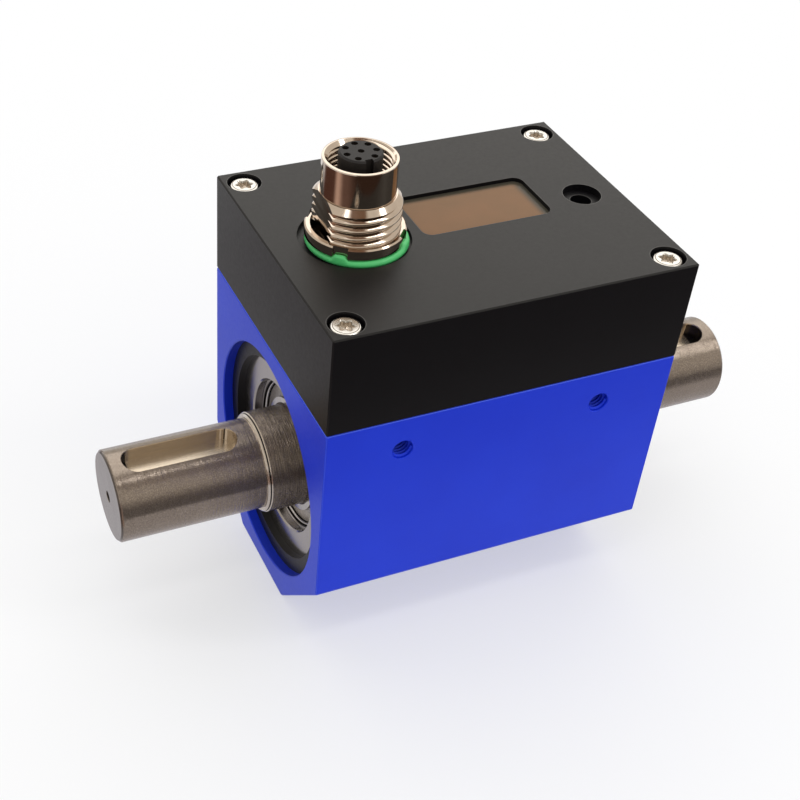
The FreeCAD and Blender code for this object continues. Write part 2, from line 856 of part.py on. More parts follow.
def stator_leads():
    low = axis_height + math.sqrt(stator_winding_radius ** 2 - (lead_y - lead_radius) ** 2) + slip_gap
    return Part.makeCompound([rod_z(lead_radius, lead_x + side * lead_pitch / 2, lead_y, low, plug_bottom)
                              for side in (-1, 1)])


def lead_grommet():
    body = tube_z(grommet_radius - press_gap, grommet_bore, lead_x, lead_y,
                  axis_height + core_radius + grommet_lift, housing_height)
    flange = tube_z(grommet_flange_radius, grommet_bore, lead_x, lead_y,
                    housing_height, housing_height + grommet_flange_height)
    return fused([body, flange])


def lead_plug():
    plug = block(lead_x - plug_length / 2, lead_x + plug_length / 2, lead_y - plug_width / 2,
                 lead_y + plug_width / 2, plug_bottom, board_bottom)
    upright = [e for e in plug.Edges if abs(e.tangentAt(e.FirstParameter).z) > 0.9]
    return plug.makeChamfer(plug_break, upright)


# Cable connector

def ridge_outline(crest, root, pitch, start, turns, step):
    """Crest and root points of a row of thread ridges, from start along step's direction."""
    outline = []
    for turn in range(turns):
        base = start + step * turn * pitch
        outline += [(crest, base), (crest, base + step * pitch / 8),
                    (root, base + step * pitch / 2), (root, base + step * pitch * 5 / 8)]
    return outline


def connector_shell():
    top = cover_top + connector_rim
    thread_top = cover_top + connector_thread_top
    foot = thread_top + connector_thread_radius - connector_foot_radius
    turns = int((thread_top - plate_underside) / connector_thread_pitch)
    flange_bottom = plate_underside - connector_flange_height
    floor = cover_top + connector_floor
    mouth = top - connector_rim_radius + connector_inner_crest
    outline = [(connector_core_radius, flange_bottom), (connector_flange_radius, flange_bottom),
               (connector_flange_radius, plate_underside), (connector_thread_root, plate_underside)]
    ridges = ridge_outline(connector_thread_radius, connector_thread_root, connector_thread_pitch,
                           thread_top, turns, -1)
    outline += list(reversed(ridges))
    outline += [(connector_foot_radius, foot), (connector_barrel_radius, foot + connector_foot_step),
                (connector_barrel_radius, top - connector_rim_break),
                (connector_barrel_radius - connector_rim_break, top), (connector_rim_radius, top)]
    outline += ridge_outline(connector_inner_crest, connector_inner_root, connector_inner_pitch,
                             mouth, connector_inner_turns, -1)
    outline += [(connector_inner_crest, mouth - connector_inner_turns * connector_inner_pitch),
                (connector_inner_crest, floor), (connector_core_radius, floor)]
    shape = turned_z(outline, connector_x, connector_y)
    flat = connector_flat_x()
    far = connector_x - connector_flange_radius
    half = connector_flange_radius
    return shape.cut(block(far, flat, connector_y - half, connector_y + half, plate_underside, foot))


def connector_nut():
    inner = connector_thread_radius + press_gap
    bottom = cover_top + nut_bottom
    top = cover_top + nut_top
    b = nut_break
    ring = turned_z([(inner, bottom), (nut_radius - b, bottom), (nut_radius, bottom + b),
                     (nut_radius, top - b), (nut_radius - b, top), (inner, top)], connector_x, connector_y)
    notch = block(connector_x + nut_radius - nut_notch_depth, connector_x + nut_radius + spare,
                  connector_y - nut_notch_width / 2, connector_y + nut_notch_width / 2, bottom, top)
    step = full_turn / nut_notches
    return ring.cut([about_vertical(notch, connector_x, connector_y, nut_notch_at + step * k)
                     for k in range(nut_notches)])


def connector_o_ring():
    centre = cover_top + nut_bottom - o_ring_radius
    middle = connector_thread_radius + slip_gap + o_ring_radius
    return Part.makeTorus(middle, o_ring_radius, point(connector_x, connector_y, centre))


def contact_places():
    spread = (full_turn - contact_gap) / (contact_ring - 1)
    places = [(connector_x, connector_y)]
    for step in range(contact_ring):
        turn = math.radians(contact_first + spread * step)
        places.append((connector_x + contact_ring_radius * math.cos(turn),
                       connector_y + contact_ring_radius * math.sin(turn)))
    return places


def connector_insert():
    top = cover_top + insert_top
    floor = cover_top + connector_floor
    foot = plate_underside - connector_flange_height + insert_foot
    wide = connector_core_radius - press_gap
    shape = turned_z([(0, foot), (wide, foot), (wide, floor), (insert_radius, floor),
                      (insert_radius, top - insert_break), (insert_radius - insert_break, top), (0, top)],
                     connector_x, connector_y)
    notch = block(connector_x + insert_radius - key_notch_depth, connector_x + insert_radius + spare,
                  connector_y - key_notch_width / 2, connector_y + key_notch_width / 2, floor, top)
    cuts = [about_vertical(notch, connector_x, connector_y, key_notch_at)]
    step = top - contact_sunk - contact_sleeve_depth
    for x, y in contact_places():
        cuts.append(rod_z(contact_hole_radius, x, y, step, top))
        cuts.append(rod_z(contact_tail_radius + press_gap, x, y, foot, step))
    return shape.cut(cuts)


def connector_contacts():
    """Sockets in the insert, each with a tail down through the main board."""
    top = cover_top + insert_top - contact_sunk
    step = top - contact_sleeve_depth
    outer = contact_hole_radius - contact_sleeve_gap
    contacts = []
    for x, y in contact_places():
        sleeve = rod_z(outer, x, y, step, top)
        bore = rod_z(outer - contact_sleeve_wall, x, y, step + contact_sleeve_floor, top)
        tail = rod_z(contact_tail_radius, x, y, board_bottom - contact_tail_reach, step)
        contacts.append(fused([sleeve, tail]).cut(bore))
    return Part.makeCompound(contacts)


# Display

def display_window():
    return window_slab(slip_gap, window_pocket, window_pocket + window_thickness)


def display_screen():
    inset = window_ledge + screen_rim
    return window_slab(inset, plate_underside, window_pocket - screen_gap)


def display_module():
    return block(window_left - module_margin, window_right + module_margin, window_front - module_margin,
                 window_back + module_margin, module_bottom, plate_underside)


def display_headers():
    strips = []
    for side in (-1, 1):
        y = window_middle_y + side * header_spacing / 2
        strips.append(block(window_middle_x - header_length / 2, window_middle_x + header_length / 2,
                            y - header_width / 2, y + header_width / 2, board_top, module_bottom))
    return Part.makeCompound(strips)


# Main board

def main_board():
    board = block(-board_half_length, board_half_length, -board_half_width, board_half_width,
                  board_bottom, board_top)
    cuts = [rod_z(board_screw_radius + slip_gap, x, y, board_bottom, board_top) for x, y in post_places]
    cuts += [rod_z(contact_tail_radius + press_gap, x, y, board_bottom, board_top)
             for x, y in contact_places()]
    cuts += [rod_z(pickup_pin_radius + press_gap, pickup_pin_x, y, board_bottom, board_top)
             for y in pickup_pin_rows()]
    return board.cut(cuts)


def board_screws():
    length = board_thickness + board_screw_length - slip_gap
    return Part.makeCompound([small_screw(x, y, board_bottom, "up", length) for x, y in post_places])


def board_chips():
    """Processor, converter, two regulators and a crystal on top of the board."""
    places = [(0.0, -chip_row, processor_size), (chip_spacing, -chip_row, converter_size),
              (-chip_spacing, -chip_row, regulator_size), (-chip_spacing, chip_row, regulator_size),
              (chip_spacing, chip_row, crystal_size)]
    chips = []
    for x, y, size in places:
        chips.append(block(x - size / 2, x + size / 2, y - size / 2, y + size / 2,
                           board_top, board_top + chip_height))
    return Part.makeCompound(chips)


# Push button

def push_switch():
    half = switch_size / 2
    body = block(button_x - half, button_x + half, button_y - half, button_y + half, board_top, switch_top)
    well = rod_z(switch_stem_radius + slide_gap, button_x, button_y, switch_top - stem_depth(), switch_top)
    return body.cut(well)


def stem_depth():
    return 3 * button_travel + slip_gap


def switch_stem():
    bottom = switch_top - 2 * button_travel
    return rod_z(switch_stem_radius, button_x, button_y, bottom, collar_bottom)


def button_plunger():
    stem = button_hole_radius - slide_gap
    return turned_z([(0, collar_bottom), (button_collar_radius, collar_bottom),
                     (button_collar_radius, collar_top), (stem, collar_top),
                     (stem, button_top - button_break), (stem - button_break, button_top),
                     (0, button_top)], button_x, button_y)


# All nodes

def left_and_right(name, build):
    shape = build()
    return {name + "_left": mirrored(shape), name + "_right": shape}


def all_nodes():
    nodes = {}
    single = [housing, cover, cover_seal, cover_screws, torsion_shaft, strain_gauges, gauge_leads,
              rotor_former, rotor_winding, rotor_board, rotor_chips, stator_former, stator_winding,
              speed_disc, speed_pickup, pickup_pins, pickup_screws, stator_leads, lead_grommet, lead_plug,
              connector_shell, connector_nut, connector_o_ring, connector_insert, connector_contacts,
              display_window, display_screen, display_module, display_headers, main_board, board_screws,
              board_chips, push_switch, switch_stem, button_plunger]
    for build in single:
        nodes[build.__name__] = build()
    paired = {"end_ring": end_ring, "bearing_carrier": bearing_carrier, "outer_ring": outer_ring,
              "inner_ring": inner_ring, "balls": balls, "cage": cage, "shields": shields,
              "shield_wires": shield_wires}
    for name, build in paired.items():
        nodes.update(left_and_right(name, build))
    return nodes


os.makedirs("parts", exist_ok=True)
for node_name, node_shape in all_nodes().items():
    node_shape.exportStep("parts/" + node_name + ".step")
    print(node_name, len(node_shape.Solids), "solids", round(node_shape.Volume, 1), "mm3")
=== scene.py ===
# %% [markdown]
# # A rotary torque sensor
# A torque sensor measures the twist in a turning shaft. The shaft runs through a blue aluminium
# housing, a black cover on top holds the electronics, and a round connector takes the cable.
# The solids come from the part's own model, in metres, so this lesson never moves them. It gives
# each solid its finish, models the threads, screws and seal that need more than a plain solid, and
# lights the result.

# %% Load the model and keep its box
import json
import math

import bpy
from mathutils import Matrix, Vector


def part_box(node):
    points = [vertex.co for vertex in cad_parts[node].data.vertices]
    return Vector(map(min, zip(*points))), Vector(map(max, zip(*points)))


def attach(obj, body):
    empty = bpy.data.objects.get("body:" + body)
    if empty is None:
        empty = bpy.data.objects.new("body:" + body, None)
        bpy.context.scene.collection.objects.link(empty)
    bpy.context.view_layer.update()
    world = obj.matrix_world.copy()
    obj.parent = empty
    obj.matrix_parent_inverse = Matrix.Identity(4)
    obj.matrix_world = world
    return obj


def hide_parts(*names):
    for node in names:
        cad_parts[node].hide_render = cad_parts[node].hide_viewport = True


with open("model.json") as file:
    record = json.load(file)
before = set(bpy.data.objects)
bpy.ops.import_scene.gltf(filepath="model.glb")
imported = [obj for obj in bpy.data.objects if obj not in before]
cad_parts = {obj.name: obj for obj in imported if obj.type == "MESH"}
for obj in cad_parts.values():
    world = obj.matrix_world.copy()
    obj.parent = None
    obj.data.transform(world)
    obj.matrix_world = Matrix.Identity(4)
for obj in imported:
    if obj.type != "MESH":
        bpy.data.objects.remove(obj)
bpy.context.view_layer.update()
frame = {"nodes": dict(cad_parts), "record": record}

nodes = frame["nodes"]

# %% [markdown]
# ## Sizes read from the model
# Most places below are worked out from the boxes of the solids, so a changed model keeps its finish
# in the right place. Millimetres are easier to read, so a size of the sensor is written as 3 * MM. The
# studio round it, with its floor, cards and lamps, is written in metres.

# %% Sizes and places
MM = 0.001
half_length, half_width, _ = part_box("housing")[1]
cover_low, cover_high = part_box("cover")
shaft_low, shaft_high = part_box("torsion_shaft")
shell_low, shell_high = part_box("connector_shell")
seal_low, seal_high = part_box("connector_o_ring")
window_low, window_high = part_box("display_window")
button_low, button_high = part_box("switch_stem")
screws_low, screws_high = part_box("cover_screws")
shield_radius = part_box("shields_left")[1][1]
cover_top = cover_high[2]
joint_z = cover_low[2]
connector_x = (shell_low[0] + shell_high[0]) / 2
connector_y = (shell_low[1] + shell_high[1]) / 2
button_x = (button_low[0] + button_high[0]) / 2
window_x = (window_low[0] + window_high[0]) / 2
window_y = (window_low[1] + window_high[1]) / 2
screw_head_radius = 2.9 * MM
screw_x = screws_high[0] - screw_head_radius
screw_y = screws_high[1] - screw_head_radius
print("half length", round(half_length / MM, 2), "cover top", round(cover_top / MM, 2))
print("screws at", round(screw_x / MM, 2), round(screw_y / MM, 2), "button at", round(button_x / MM, 2))

# %% Places along the shaft
shaft_z = (shaft_low[2] + shaft_high[2]) / 2
shaft_tip = shaft_high[0]
shaft_radius = 9.0 * MM
keyway_outer = shaft_tip - 2.65 * MM
keyway_inner = keyway_outer - 22.6 * MM
keyway_floor = shaft_radius - 3.5 * MM
keyway_turn = math.radians(7.0)
edge_break = 0.28 * MM
journal_end = half_length + 1.9 * MM
shoulder = half_length + 1.98 * MM
groove_start = shoulder + 0.20 * MM
groove_end = groove_start + 0.27 * MM
cone_end = groove_end + 0.41 * MM
tip_chamfer = 0.54 * MM
centre_hole_shade_radius = 1.15 * MM
print("shaft height", round(shaft_z / MM, 2), "keyway from", round(keyway_inner / MM, 2))

# %% [markdown]
# ## The camera
# The photograph was taken from close by, a little above the cover and towards the connector's end.
# The camera's place and the three directions of its view were found from the corners of the box in
# the photograph. A lens that isn't aimed at the middle of the picture is written as a shift.

# %% Set the camera
camera_place = Vector((-111.80, -188.21, 205.20)) * MM
view_right = Vector((0.92211, -0.38420, 0.04595))
view_up = Vector((0.22650, 0.63223, 0.74093))
view_forward = Vector((0.31372, 0.67281, -0.67001))

camera_data = bpy.data.cameras.new("camera")
camera_data.sensor_width = 36
camera_data.lens = 62.13
camera_data.shift_x = 0.1079
camera_data.shift_y = 0.1048
camera_data.clip_start = 0.01
camera = bpy.data.objects.new("camera", camera_data)
bpy.context.scene.collection.objects.link(camera)
turn = Matrix((view_right, view_up, -view_forward)).transposed()
camera.matrix_world = Matrix.Translation(camera_place) @ turn.to_4x4()
bpy.context.scene.camera = camera
print("camera at", [round(value, 3) for value in camera.location])

# %% [markdown]
# ## Shader maths in Python
# A finish is a small network of nodes. Wiring it by hand hides the idea, so a socket is wrapped in a
# class whose + - * add Math nodes, and one method adds any other node with its settings and inputs.

# %% A socket that can be calculated with
class Socket:
    """One output of a shader network. Arithmetic on it adds Math nodes."""

    def __init__(self, finish, output):
        self.finish = finish
        self.output = output

    def maths(self, operation, first, second=0.0):
        return self.finish.node("ShaderNodeMath", {"operation": operation}, {0: first, 1: second})

    def __add__(self, other):
        return self.maths("ADD", self, other)

    def __radd__(self, other):
        return self.maths("ADD", other, self)

    def __sub__(self, other):
        return self.maths("SUBTRACT", self, other)

    def __rsub__(self, other):
        return self.maths("SUBTRACT", other, self)

    def __mul__(self, other):
        return self.maths("MULTIPLY", self, other)

    def __rmul__(self, other):
        return self.maths("MULTIPLY", other, self)

    def __gt__(self, other):
        return self.maths("GREATER_THAN", self, other)

    def __lt__(self, other):
        return self.maths("LESS_THAN", self, other)

    def __abs__(self):
        return self.maths("ABSOLUTE", self)

    def root(self):
        return self.maths("SQRT", self)

    def at_least(self, other):
        return self.maths("MAXIMUM", self, other)


# %% A finish and its nodes
class Finish:
    """A material that is built up node by node."""

    def __init__(self, name):
        self.material = bpy.data.materials.new(name)
        self.material.use_nodes = True
        self.tree = self.material.node_tree
        self.tree.nodes.clear()
        self.last = self.tree.nodes.new("ShaderNodeOutputMaterial")

    def node(self, kind, settings=None, inputs=None, output=0):
        """Adds a node. Settings come first, because some of them make the sockets."""
        made = self.tree.nodes.new(kind)
        for key, value in (settings or {}).items():
            setattr(made, key, value)
        for key, value in (inputs or {}).items():
            if isinstance(value, Socket):
                self.tree.links.new(value.output, made.inputs[key])
            else:
                made.inputs[key].default_value = value
        return Socket(self, made.outputs[output])

    def place(self):
        """Object coordinates: metres in the model's own frame."""
        return self.node("ShaderNodeTexCoord", output="Object")

    def axes(self):
        """The x, y and z of Object coordinates, each on its own."""
        parts = self.node("ShaderNodeSeparateXYZ", {}, {0: self.place()})
        others = [Socket(self, parts.output.node.outputs[step]) for step in (1, 2)]
        return [parts] + others

    def noise(self, size, detail=2.0, scale=(1.0, 1.0, 1.0), vector=None):
        """Noise from 0 to 1 whose patches are about size across. A small scale stretches an axis."""
        where = self.node("ShaderNodeMapping", {}, {"Vector": vector or self.place(), "Scale": scale})
        return self.node("ShaderNodeTexNoise", {},
                         {"Vector": where, "Scale": 1.0 / size, "Detail": detail})

    def blend(self, mask, low, high):
        """A colour that goes from low to high with the mask."""
        return self.node("ShaderNodeMix", {"data_type": "RGBA"}, {0: mask, 6: low, 7: high}, output=2)

    def step(self, value, low, high):
        """0 below low, 1 above high, smooth between."""
        return self.node("ShaderNodeMapRange", {"interpolation_type": "SMOOTHSTEP"},
                         {"Value": value, "From Min": low, "From Max": high})

    def bump(self, height, depth):
        """A normal for relief that is as deep as depth where the height is 1."""
        return self.node("ShaderNodeBump", {}, {"Height": height, "Distance": depth})

    def surface(self, **inputs):
        """The Principled shader, with spaces in its socket names written as underscores."""
        named = {key.replace("_", " "): value for key, value in inputs.items()}
        return self.show(self.node("ShaderNodeBsdfPrincipled", {}, named))

    def show(self, shader):
        """Sends a shader to the material's output."""
        self.tree.links.new(shader.output, self.last.inputs[0])
        print("finish", self.material.name, len(self.tree.nodes), "nodes")
        return self.material


def colour(red, green, blue):
    """A colour given as it shows on a screen, from 0 to 255, as the linear values that shaders use."""
    shown = [value / 255 for value in (red, green, blue)]
    linear = [value / 12.92 if value <= 0.04045 else ((value + 0.055) / 1.055) ** 2.4 for value in shown]
    return (*linear, 1.0)


print("shader helpers ready")

# %% [markdown]
# ## Masks from distances
# A mask is a number from 0 to 1 that says where one finish ends and another begins. It is worked out
# from a distance: to the shaft's axis, to the rim of a hole, or to a window with rounded corners.

# %% Distances for the masks
def from_shaft(finish):
    """The distance to the shaft's axis."""
    _, y, z = finish.axes()
    rise = z - shaft_z
    return (y * y + rise * rise).root()


def outside_circle(across, along, radius):
    """How far a point lies outside a circle, from its two distances to the circle's centre."""
    return (across * across + along * along).root() - radius


def outside_window(x, y, corner):
    """How far a point lies outside the window, whose corners are rounded."""
    past_x = abs(x - window_x) - (window_high[0] - window_x - corner)
    past_y = abs(y - window_y) - (window_high[1] - window_y - corner)
    return outside_circle(past_x.at_least(0.0), past_y.at_least(0.0), corner)


def within(value, low, high):
    """1 where the value lies between low and high."""
    return (value > low) * (value < high)


print("mask helpers ready")

# %% [markdown]
# ## Anodised aluminium
# Housing and cover are blasted, then anodised: a hard, dyed skin with a very fine grain and a soft
# sheen. Dye is thinner on a sharp edge, so the edges look paler, and the pale edges are partly a painted
# highlight where the edges catch the light. Blasting is too fine to model, so it is a small bump from
# noise, and the pale edges are masks from the distance to each rim.

# %% Pale edges
counterbore_radius = 3.2 * MM
button_recess_radius = 3.6 * MM
button_recess_depth = 1.35 * MM
button_hole_radius = 1.98 * MM
window_corner = 1.9 * MM
rim_depth = 0.05 * MM


def outer_edges(finish, width):
    """1 on the chamfer next to the joint and less on the upright corners, 0 elsewhere."""
    corner_paleness = 0.35
    x, y, z = finish.axes()
    near_end = abs(x) > half_length - width
    near_side = abs(y) > half_width - width
    near_joint = (abs(z - joint_z) < width) * (near_end + near_side > 0.5)
    return near_joint.at_least(near_end * near_side * corner_paleness)


def cover_rims(finish, width):
    """1 on a thin line round the counterbores, the button's recess and hole, and the window."""
    def rim(outside):
        return within(outside, 0.0, width)

    x, y, z = finish.axes()
    counterbores = rim(outside_circle(abs(x) - screw_x, abs(y) - screw_y, counterbore_radius))
    recess = rim(outside_circle(x - button_x, y, button_recess_radius))
    hole = rim(outside_circle(x - button_x, y, button_hole_radius))
    window = rim(outside_window(x, y, window_corner))
    on_top = z > cover_top - rim_depth
    in_recess = abs(z - (cover_top - button_recess_depth)) < rim_depth
    return (counterbores.at_least(recess).at_least(window) * on_top).at_least(hole * in_recess)


# %% Blue and black skins
def anodised_blue():
    finish = Finish("anodised_blue")
    cloud = finish.noise(18 * MM, detail=3.0)
    base = finish.blend(cloud, colour(12, 40, 200), colour(18, 54, 218))
    # Paler dye on the sharp edges, and partly a painted highlight along the chamfers.
    base = finish.blend(outer_edges(finish, width=0.16 * MM), base, colour(84, 108, 232))
    grain = finish.noise(0.22 * MM, detail=3.0)
    rough = 0.36 + 0.10 * finish.noise(0.9 * MM)
    return finish.surface(Base_Color=base, Metallic=0.15, Roughness=rough,
                          Normal=finish.bump(grain, depth=0.012 * MM), Specular_IOR_Level=0.45,
                          Specular_Tint=(0.66, 0.93, 1.0, 1.0))


def anodised_black():
    finish = Finish("anodised_black")
    cloud = finish.noise(14 * MM, detail=3.0)
    base = finish.blend(cloud, colour(5, 4, 8), colour(9, 8, 12))
    # Pale lines round the openings: thinner dye on the sharp rims, and partly a painted highlight.
    base = finish.blend(cover_rims(finish, width=0.12 * MM), base, colour(70, 68, 66))
    grain = finish.noise(0.2 * MM, detail=3.0)
    rough = 0.38 + 0.10 * finish.noise(0.8 * MM)
    return finish.surface(Base_Color=base, Metallic=0.0, Roughness=rough,
                          Normal=finish.bump(grain, depth=0.012 * MM), Specular_IOR_Level=0.27,
                          Specular_Tint=(1.0, 0.99, 0.93, 1.0))


# %% [markdown]
# ## Turned and milled steel
# A turned surface is a fine thread: grooves that run round the shaft and throw each highlight out
# along it. Noise that hardly changes round the axis gives the grooves as a bump. The keyway is milled
# along the shaft, so its streaks run the other way, and its sharp edge is broken and carries a painted
# highlight.

# %% The shaft's two skins
def turned_skin(finish):
    """Grey steel whose shade changes slowly, with small sparkles."""
    cloud = finish.noise(5 * MM, detail=3.0, scale=(1.0, 0.3, 0.3))
    base = finish.blend(cloud, colour(121, 109, 98), colour(136, 124, 113))
    sparkle = finish.step(finish.noise(0.16 * MM), 0.42, 0.72)
    return finish.blend(sparkle, base, colour(168, 155, 141))


def milled_skin(finish, base, keyway, streaks, along, radius, height):
    """Lays the keyway over the turned skin: its streaks, a painted highlight on its broken edge, painted
    bright and dark reflection bands near its inner end, and painted shade at its outer end.
    """
    def mark(start, end):
        """1 on the keyway's wall between two distances from its inner end."""
        return wall * within(along - keyway_inner, start, end)

    first_highlight = (1.0 * MM, 1.35 * MM)
    dark_reflection_band = (1.35 * MM, 1.6 * MM)
    second_highlight = (2.0 * MM, 2.3 * MM)
    shade_length = 1.5 * MM
    wall = keyway * (height > keyway_floor + 0.08 * MM)
    milled = finish.blend(streaks, colour(172, 160, 143), colour(210, 196, 177))
    base = finish.blend(keyway, base, milled)
    # A painted highlight along the keyway's broken edge.
    base = finish.blend(keyway * (radius > shaft_radius - edge_break), base, colour(236, 228, 216))
    # Painted reflections: two bright bands on the wall near the inner end, with a dark band between
    # them.
    painted_highlight_bands = mark(*first_highlight).at_least(mark(*second_highlight))
    base = finish.blend(painted_highlight_bands, base, colour(244, 238, 230))
    base = finish.blend(mark(*dark_reflection_band), base, colour(70, 60, 50))
    # Painted shade in the outer end of the keyway.
    shaded_outer_end = keyway * (along > keyway_outer - shade_length) * (radius < shaft_radius - edge_break)
    return finish.blend(shaded_outer_end * 0.9, base, colour(30, 27, 30))


# %% The whole shaft
def turned_steel():
    """The skins together, with the polished shoulder and cone, paler partly as a painted highlight, the
    groove in painted shade, and the shaft's tip, whose centre hole is in painted shade.
    """
    keyway_margin = 0.2 * MM
    below_skin = 0.03 * MM
    tip_reach = 0.3 * MM
    face_depth = 0.02 * MM
    journal_step = 0.5 * MM
    finish = Finish("turned_steel")
    x, y, z = finish.axes()
    along = abs(x)
    radius = from_shaft(finish)
    height = (z - shaft_z) * math.cos(keyway_turn) - y * math.sin(keyway_turn)
    keyway = within(along, keyway_inner - keyway_margin, keyway_outer + keyway_margin)
    keyway = keyway * (radius < shaft_radius - below_skin)
    streaks = finish.noise(0.22 * MM, scale=(0.03, 1.0, 1.0))
    base = milled_skin(finish, turned_skin(finish), keyway, streaks, along, radius, height)

    cone = within(along, groove_end, cone_end)
    bright = within(along, shoulder, groove_start).at_least(cone)
    # The shoulder and cone are polished, and their paler colour is partly a painted highlight.
    base = finish.blend(bright * 0.6, base, colour(222, 214, 204))
    # Painted shade in the groove.
    base = finish.blend(within(along, groove_start, groove_end), base, colour(50, 43, 39))

    near_rim = along + radius > shaft_tip + shaft_radius - tip_chamfer
    tip_edge = near_rim * (along > shaft_tip - tip_reach)
    shaded_centre_hole = radius < centre_hole_shade_radius
    base = finish.blend(along > shaft_tip - face_depth, base, colour(116, 108, 103))
    base = finish.blend(tip_edge, base, colour(92, 84, 78))
    # Painted shade in the centre hole and its countersink.
    base = finish.blend(shaded_centre_hole, base, colour(14, 12, 11))

    journal = (radius > shaft_radius + journal_step) * (along < journal_end)
    grooves = finish.noise(0.14 * MM, detail=3.0, scale=(1.0, 0.02, 0.02))
    rough = 0.10 + 0.09 * grooves + 0.10 * keyway + 0.03 * journal + 0.6 * shaded_centre_hole
    smooth = 1.0 - bright.at_least(tip_edge) * 0.5
    metal = 0.72 + 0.2 * bright.at_least(keyway) - 0.7 * shaded_centre_hole
    texture = grooves * (1.0 - keyway) * (1.0 + 1.2 * journal) + 0.1 * streaks * keyway
    return finish.surface(Base_Color=base, Metallic=metal, Roughness=rough * smooth,
                          Normal=finish.bump(texture, depth=0.07 * MM))


# %% [markdown]
# ## Faced, ground and plated metals
# A face cut on a lathe has grooves too, but in circles, so there the noise runs along the distance
# from the axis. Ground bearing rings and plated brass are smooth, and only a slow change of colour
# and gloss keeps them from looking like plastic. The gaps round the shields are painted dark as shade.

# %% Faced and smooth metals
def faced_metal(name, darker, paler, rough, groove_depth):
    """Metal with fine circular grooves round the shaft."""
    finish = Finish(name)
    radius = from_shaft(finish)
    circle = finish.node("ShaderNodeCombineXYZ", {}, {0: radius})
    grooves = finish.noise(0.16 * MM, detail=3.0, vector=circle)
    smear = finish.noise(3 * MM, detail=3.0)
    base = finish.blend(0.5 * grooves + 0.5 * smear, colour(*darker), colour(*paler))
    return finish.surface(Base_Color=base, Metallic=1.0, Roughness=rough + 0.10 * smear,
                          Normal=finish.bump(grooves, groove_depth))


def smooth_metal(name, darker, paler, rough):
    """Ground or plated metal."""
    finish = Finish(name)
    smear = finish.noise(1.6 * MM, detail=3.0)
    base = finish.blend(smear, colour(*darker), colour(*paler))
    return finish.surface(Base_Color=base, Metallic=1.0, Roughness=rough + 0.06 * smear)


# %% Screws and bearing rings
def screw_steel():
    """Bright steel with turned circles round each screw, a darker circle where the edge rounds off as a
    painted reflection, and a warm painted reflection on the walls of the recess.
    """
    bevel_start = 2.14 * MM
    bevel_end = 2.30 * MM
    recess_reflection_depth = 0.35 * MM
    finish = Finish("stainless_screw")
    x, y, z = finish.axes()
    reach = outside_circle(abs(x) - screw_x, abs(y) - screw_y, 0.0)
    circle = finish.node("ShaderNodeCombineXYZ", {}, {0: reach})
    turned = finish.noise(0.12 * MM, vector=circle)
    base = finish.blend(turned, colour(180, 177, 172), colour(218, 215, 209))
    # A painted reflection: a darker circle where the head's edge rounds off.
    base = finish.blend(within(reach, bevel_start, bevel_end), base, colour(112, 104, 96))
    # A painted reflection: the walls of the recess in a warm tone.
    base = finish.blend(z < screws_high[2] - recess_reflection_depth, base, colour(206, 197, 186))
    return finish.surface(Base_Color=base, Metallic=1.0, Roughness=0.16 + 0.08 * turned)


def ring_steel(name, darker, paler, rough, gap_low, gap_high):
    """Bearing metal whose gap between two distances from the shaft is painted dark as shade."""
    finish = Finish(name)
    smear = finish.noise(1.2 * MM, detail=3.0)
    gap = within(from_shaft(finish), gap_low, gap_high)
    base = finish.blend(smear, colour(*darker), colour(*paler))
    # Painted shade in the gap round the shield.
    base = finish.blend(gap, base, colour(16, 14, 13))
    return finish.surface(Base_Color=base, Metallic=1.0, Roughness=rough + 0.08 * smear + 0.3 * gap)


# %% [markdown]
# ## Plastics, rubber and glass
# These are all the same idea: a colour with a slow change over it, and a roughness that isn't quite
# even. The smoked window lets a little light through, so its alpha is just below 1. Its brown film
# fades out before it reaches the walls of the recess, one soft step for each side, into a grey border
# that is a painted reflection of the walls, wider at the back and on the right.

# %% Plastics and rubber
def moulded(name, shown, rough, grain_size=0.3 * MM, grain_depth=0.006 * MM, specular=0.5):
    """Plastic or rubber with a fine grain."""
    finish = Finish(name)
    cloud = finish.noise(4 * MM, detail=3.0)
    darker = [value * 0.88 for value in shown]
    base = finish.blend(cloud, colour(*darker), colour(*shown))
    grain = finish.noise(grain_size)
    return finish.surface(Base_Color=base, Roughness=rough + 0.08 * grain, Specular_IOR_Level=specular,
                          Normal=finish.bump(grain, grain_depth))


def green_rubber():
    """The seal's rubber, painted dark as shade where it lies inside the nut's bore."""
    nut_bore = 8.1 * MM
    finish = Finish("green_rubber")
    x, y, _ = finish.axes()
    cloud = finish.noise(4 * MM, detail=3.0)
    base = finish.blend(cloud, colour(72, 178, 100), colour(82, 202, 114))
    shaded_in_bore = outside_circle(x - connector_x, y - connector_y, nut_bore) < 0.0
    # Painted shade inside the nut's bore.
    base = finish.blend(shaded_in_bore, base, colour(46, 38, 30))
    grain = finish.noise(0.3 * MM)
    return finish.surface(Base_Color=base, Roughness=0.36 + 0.08 * grain,
                          Normal=finish.bump(grain, depth=0.006 * MM))


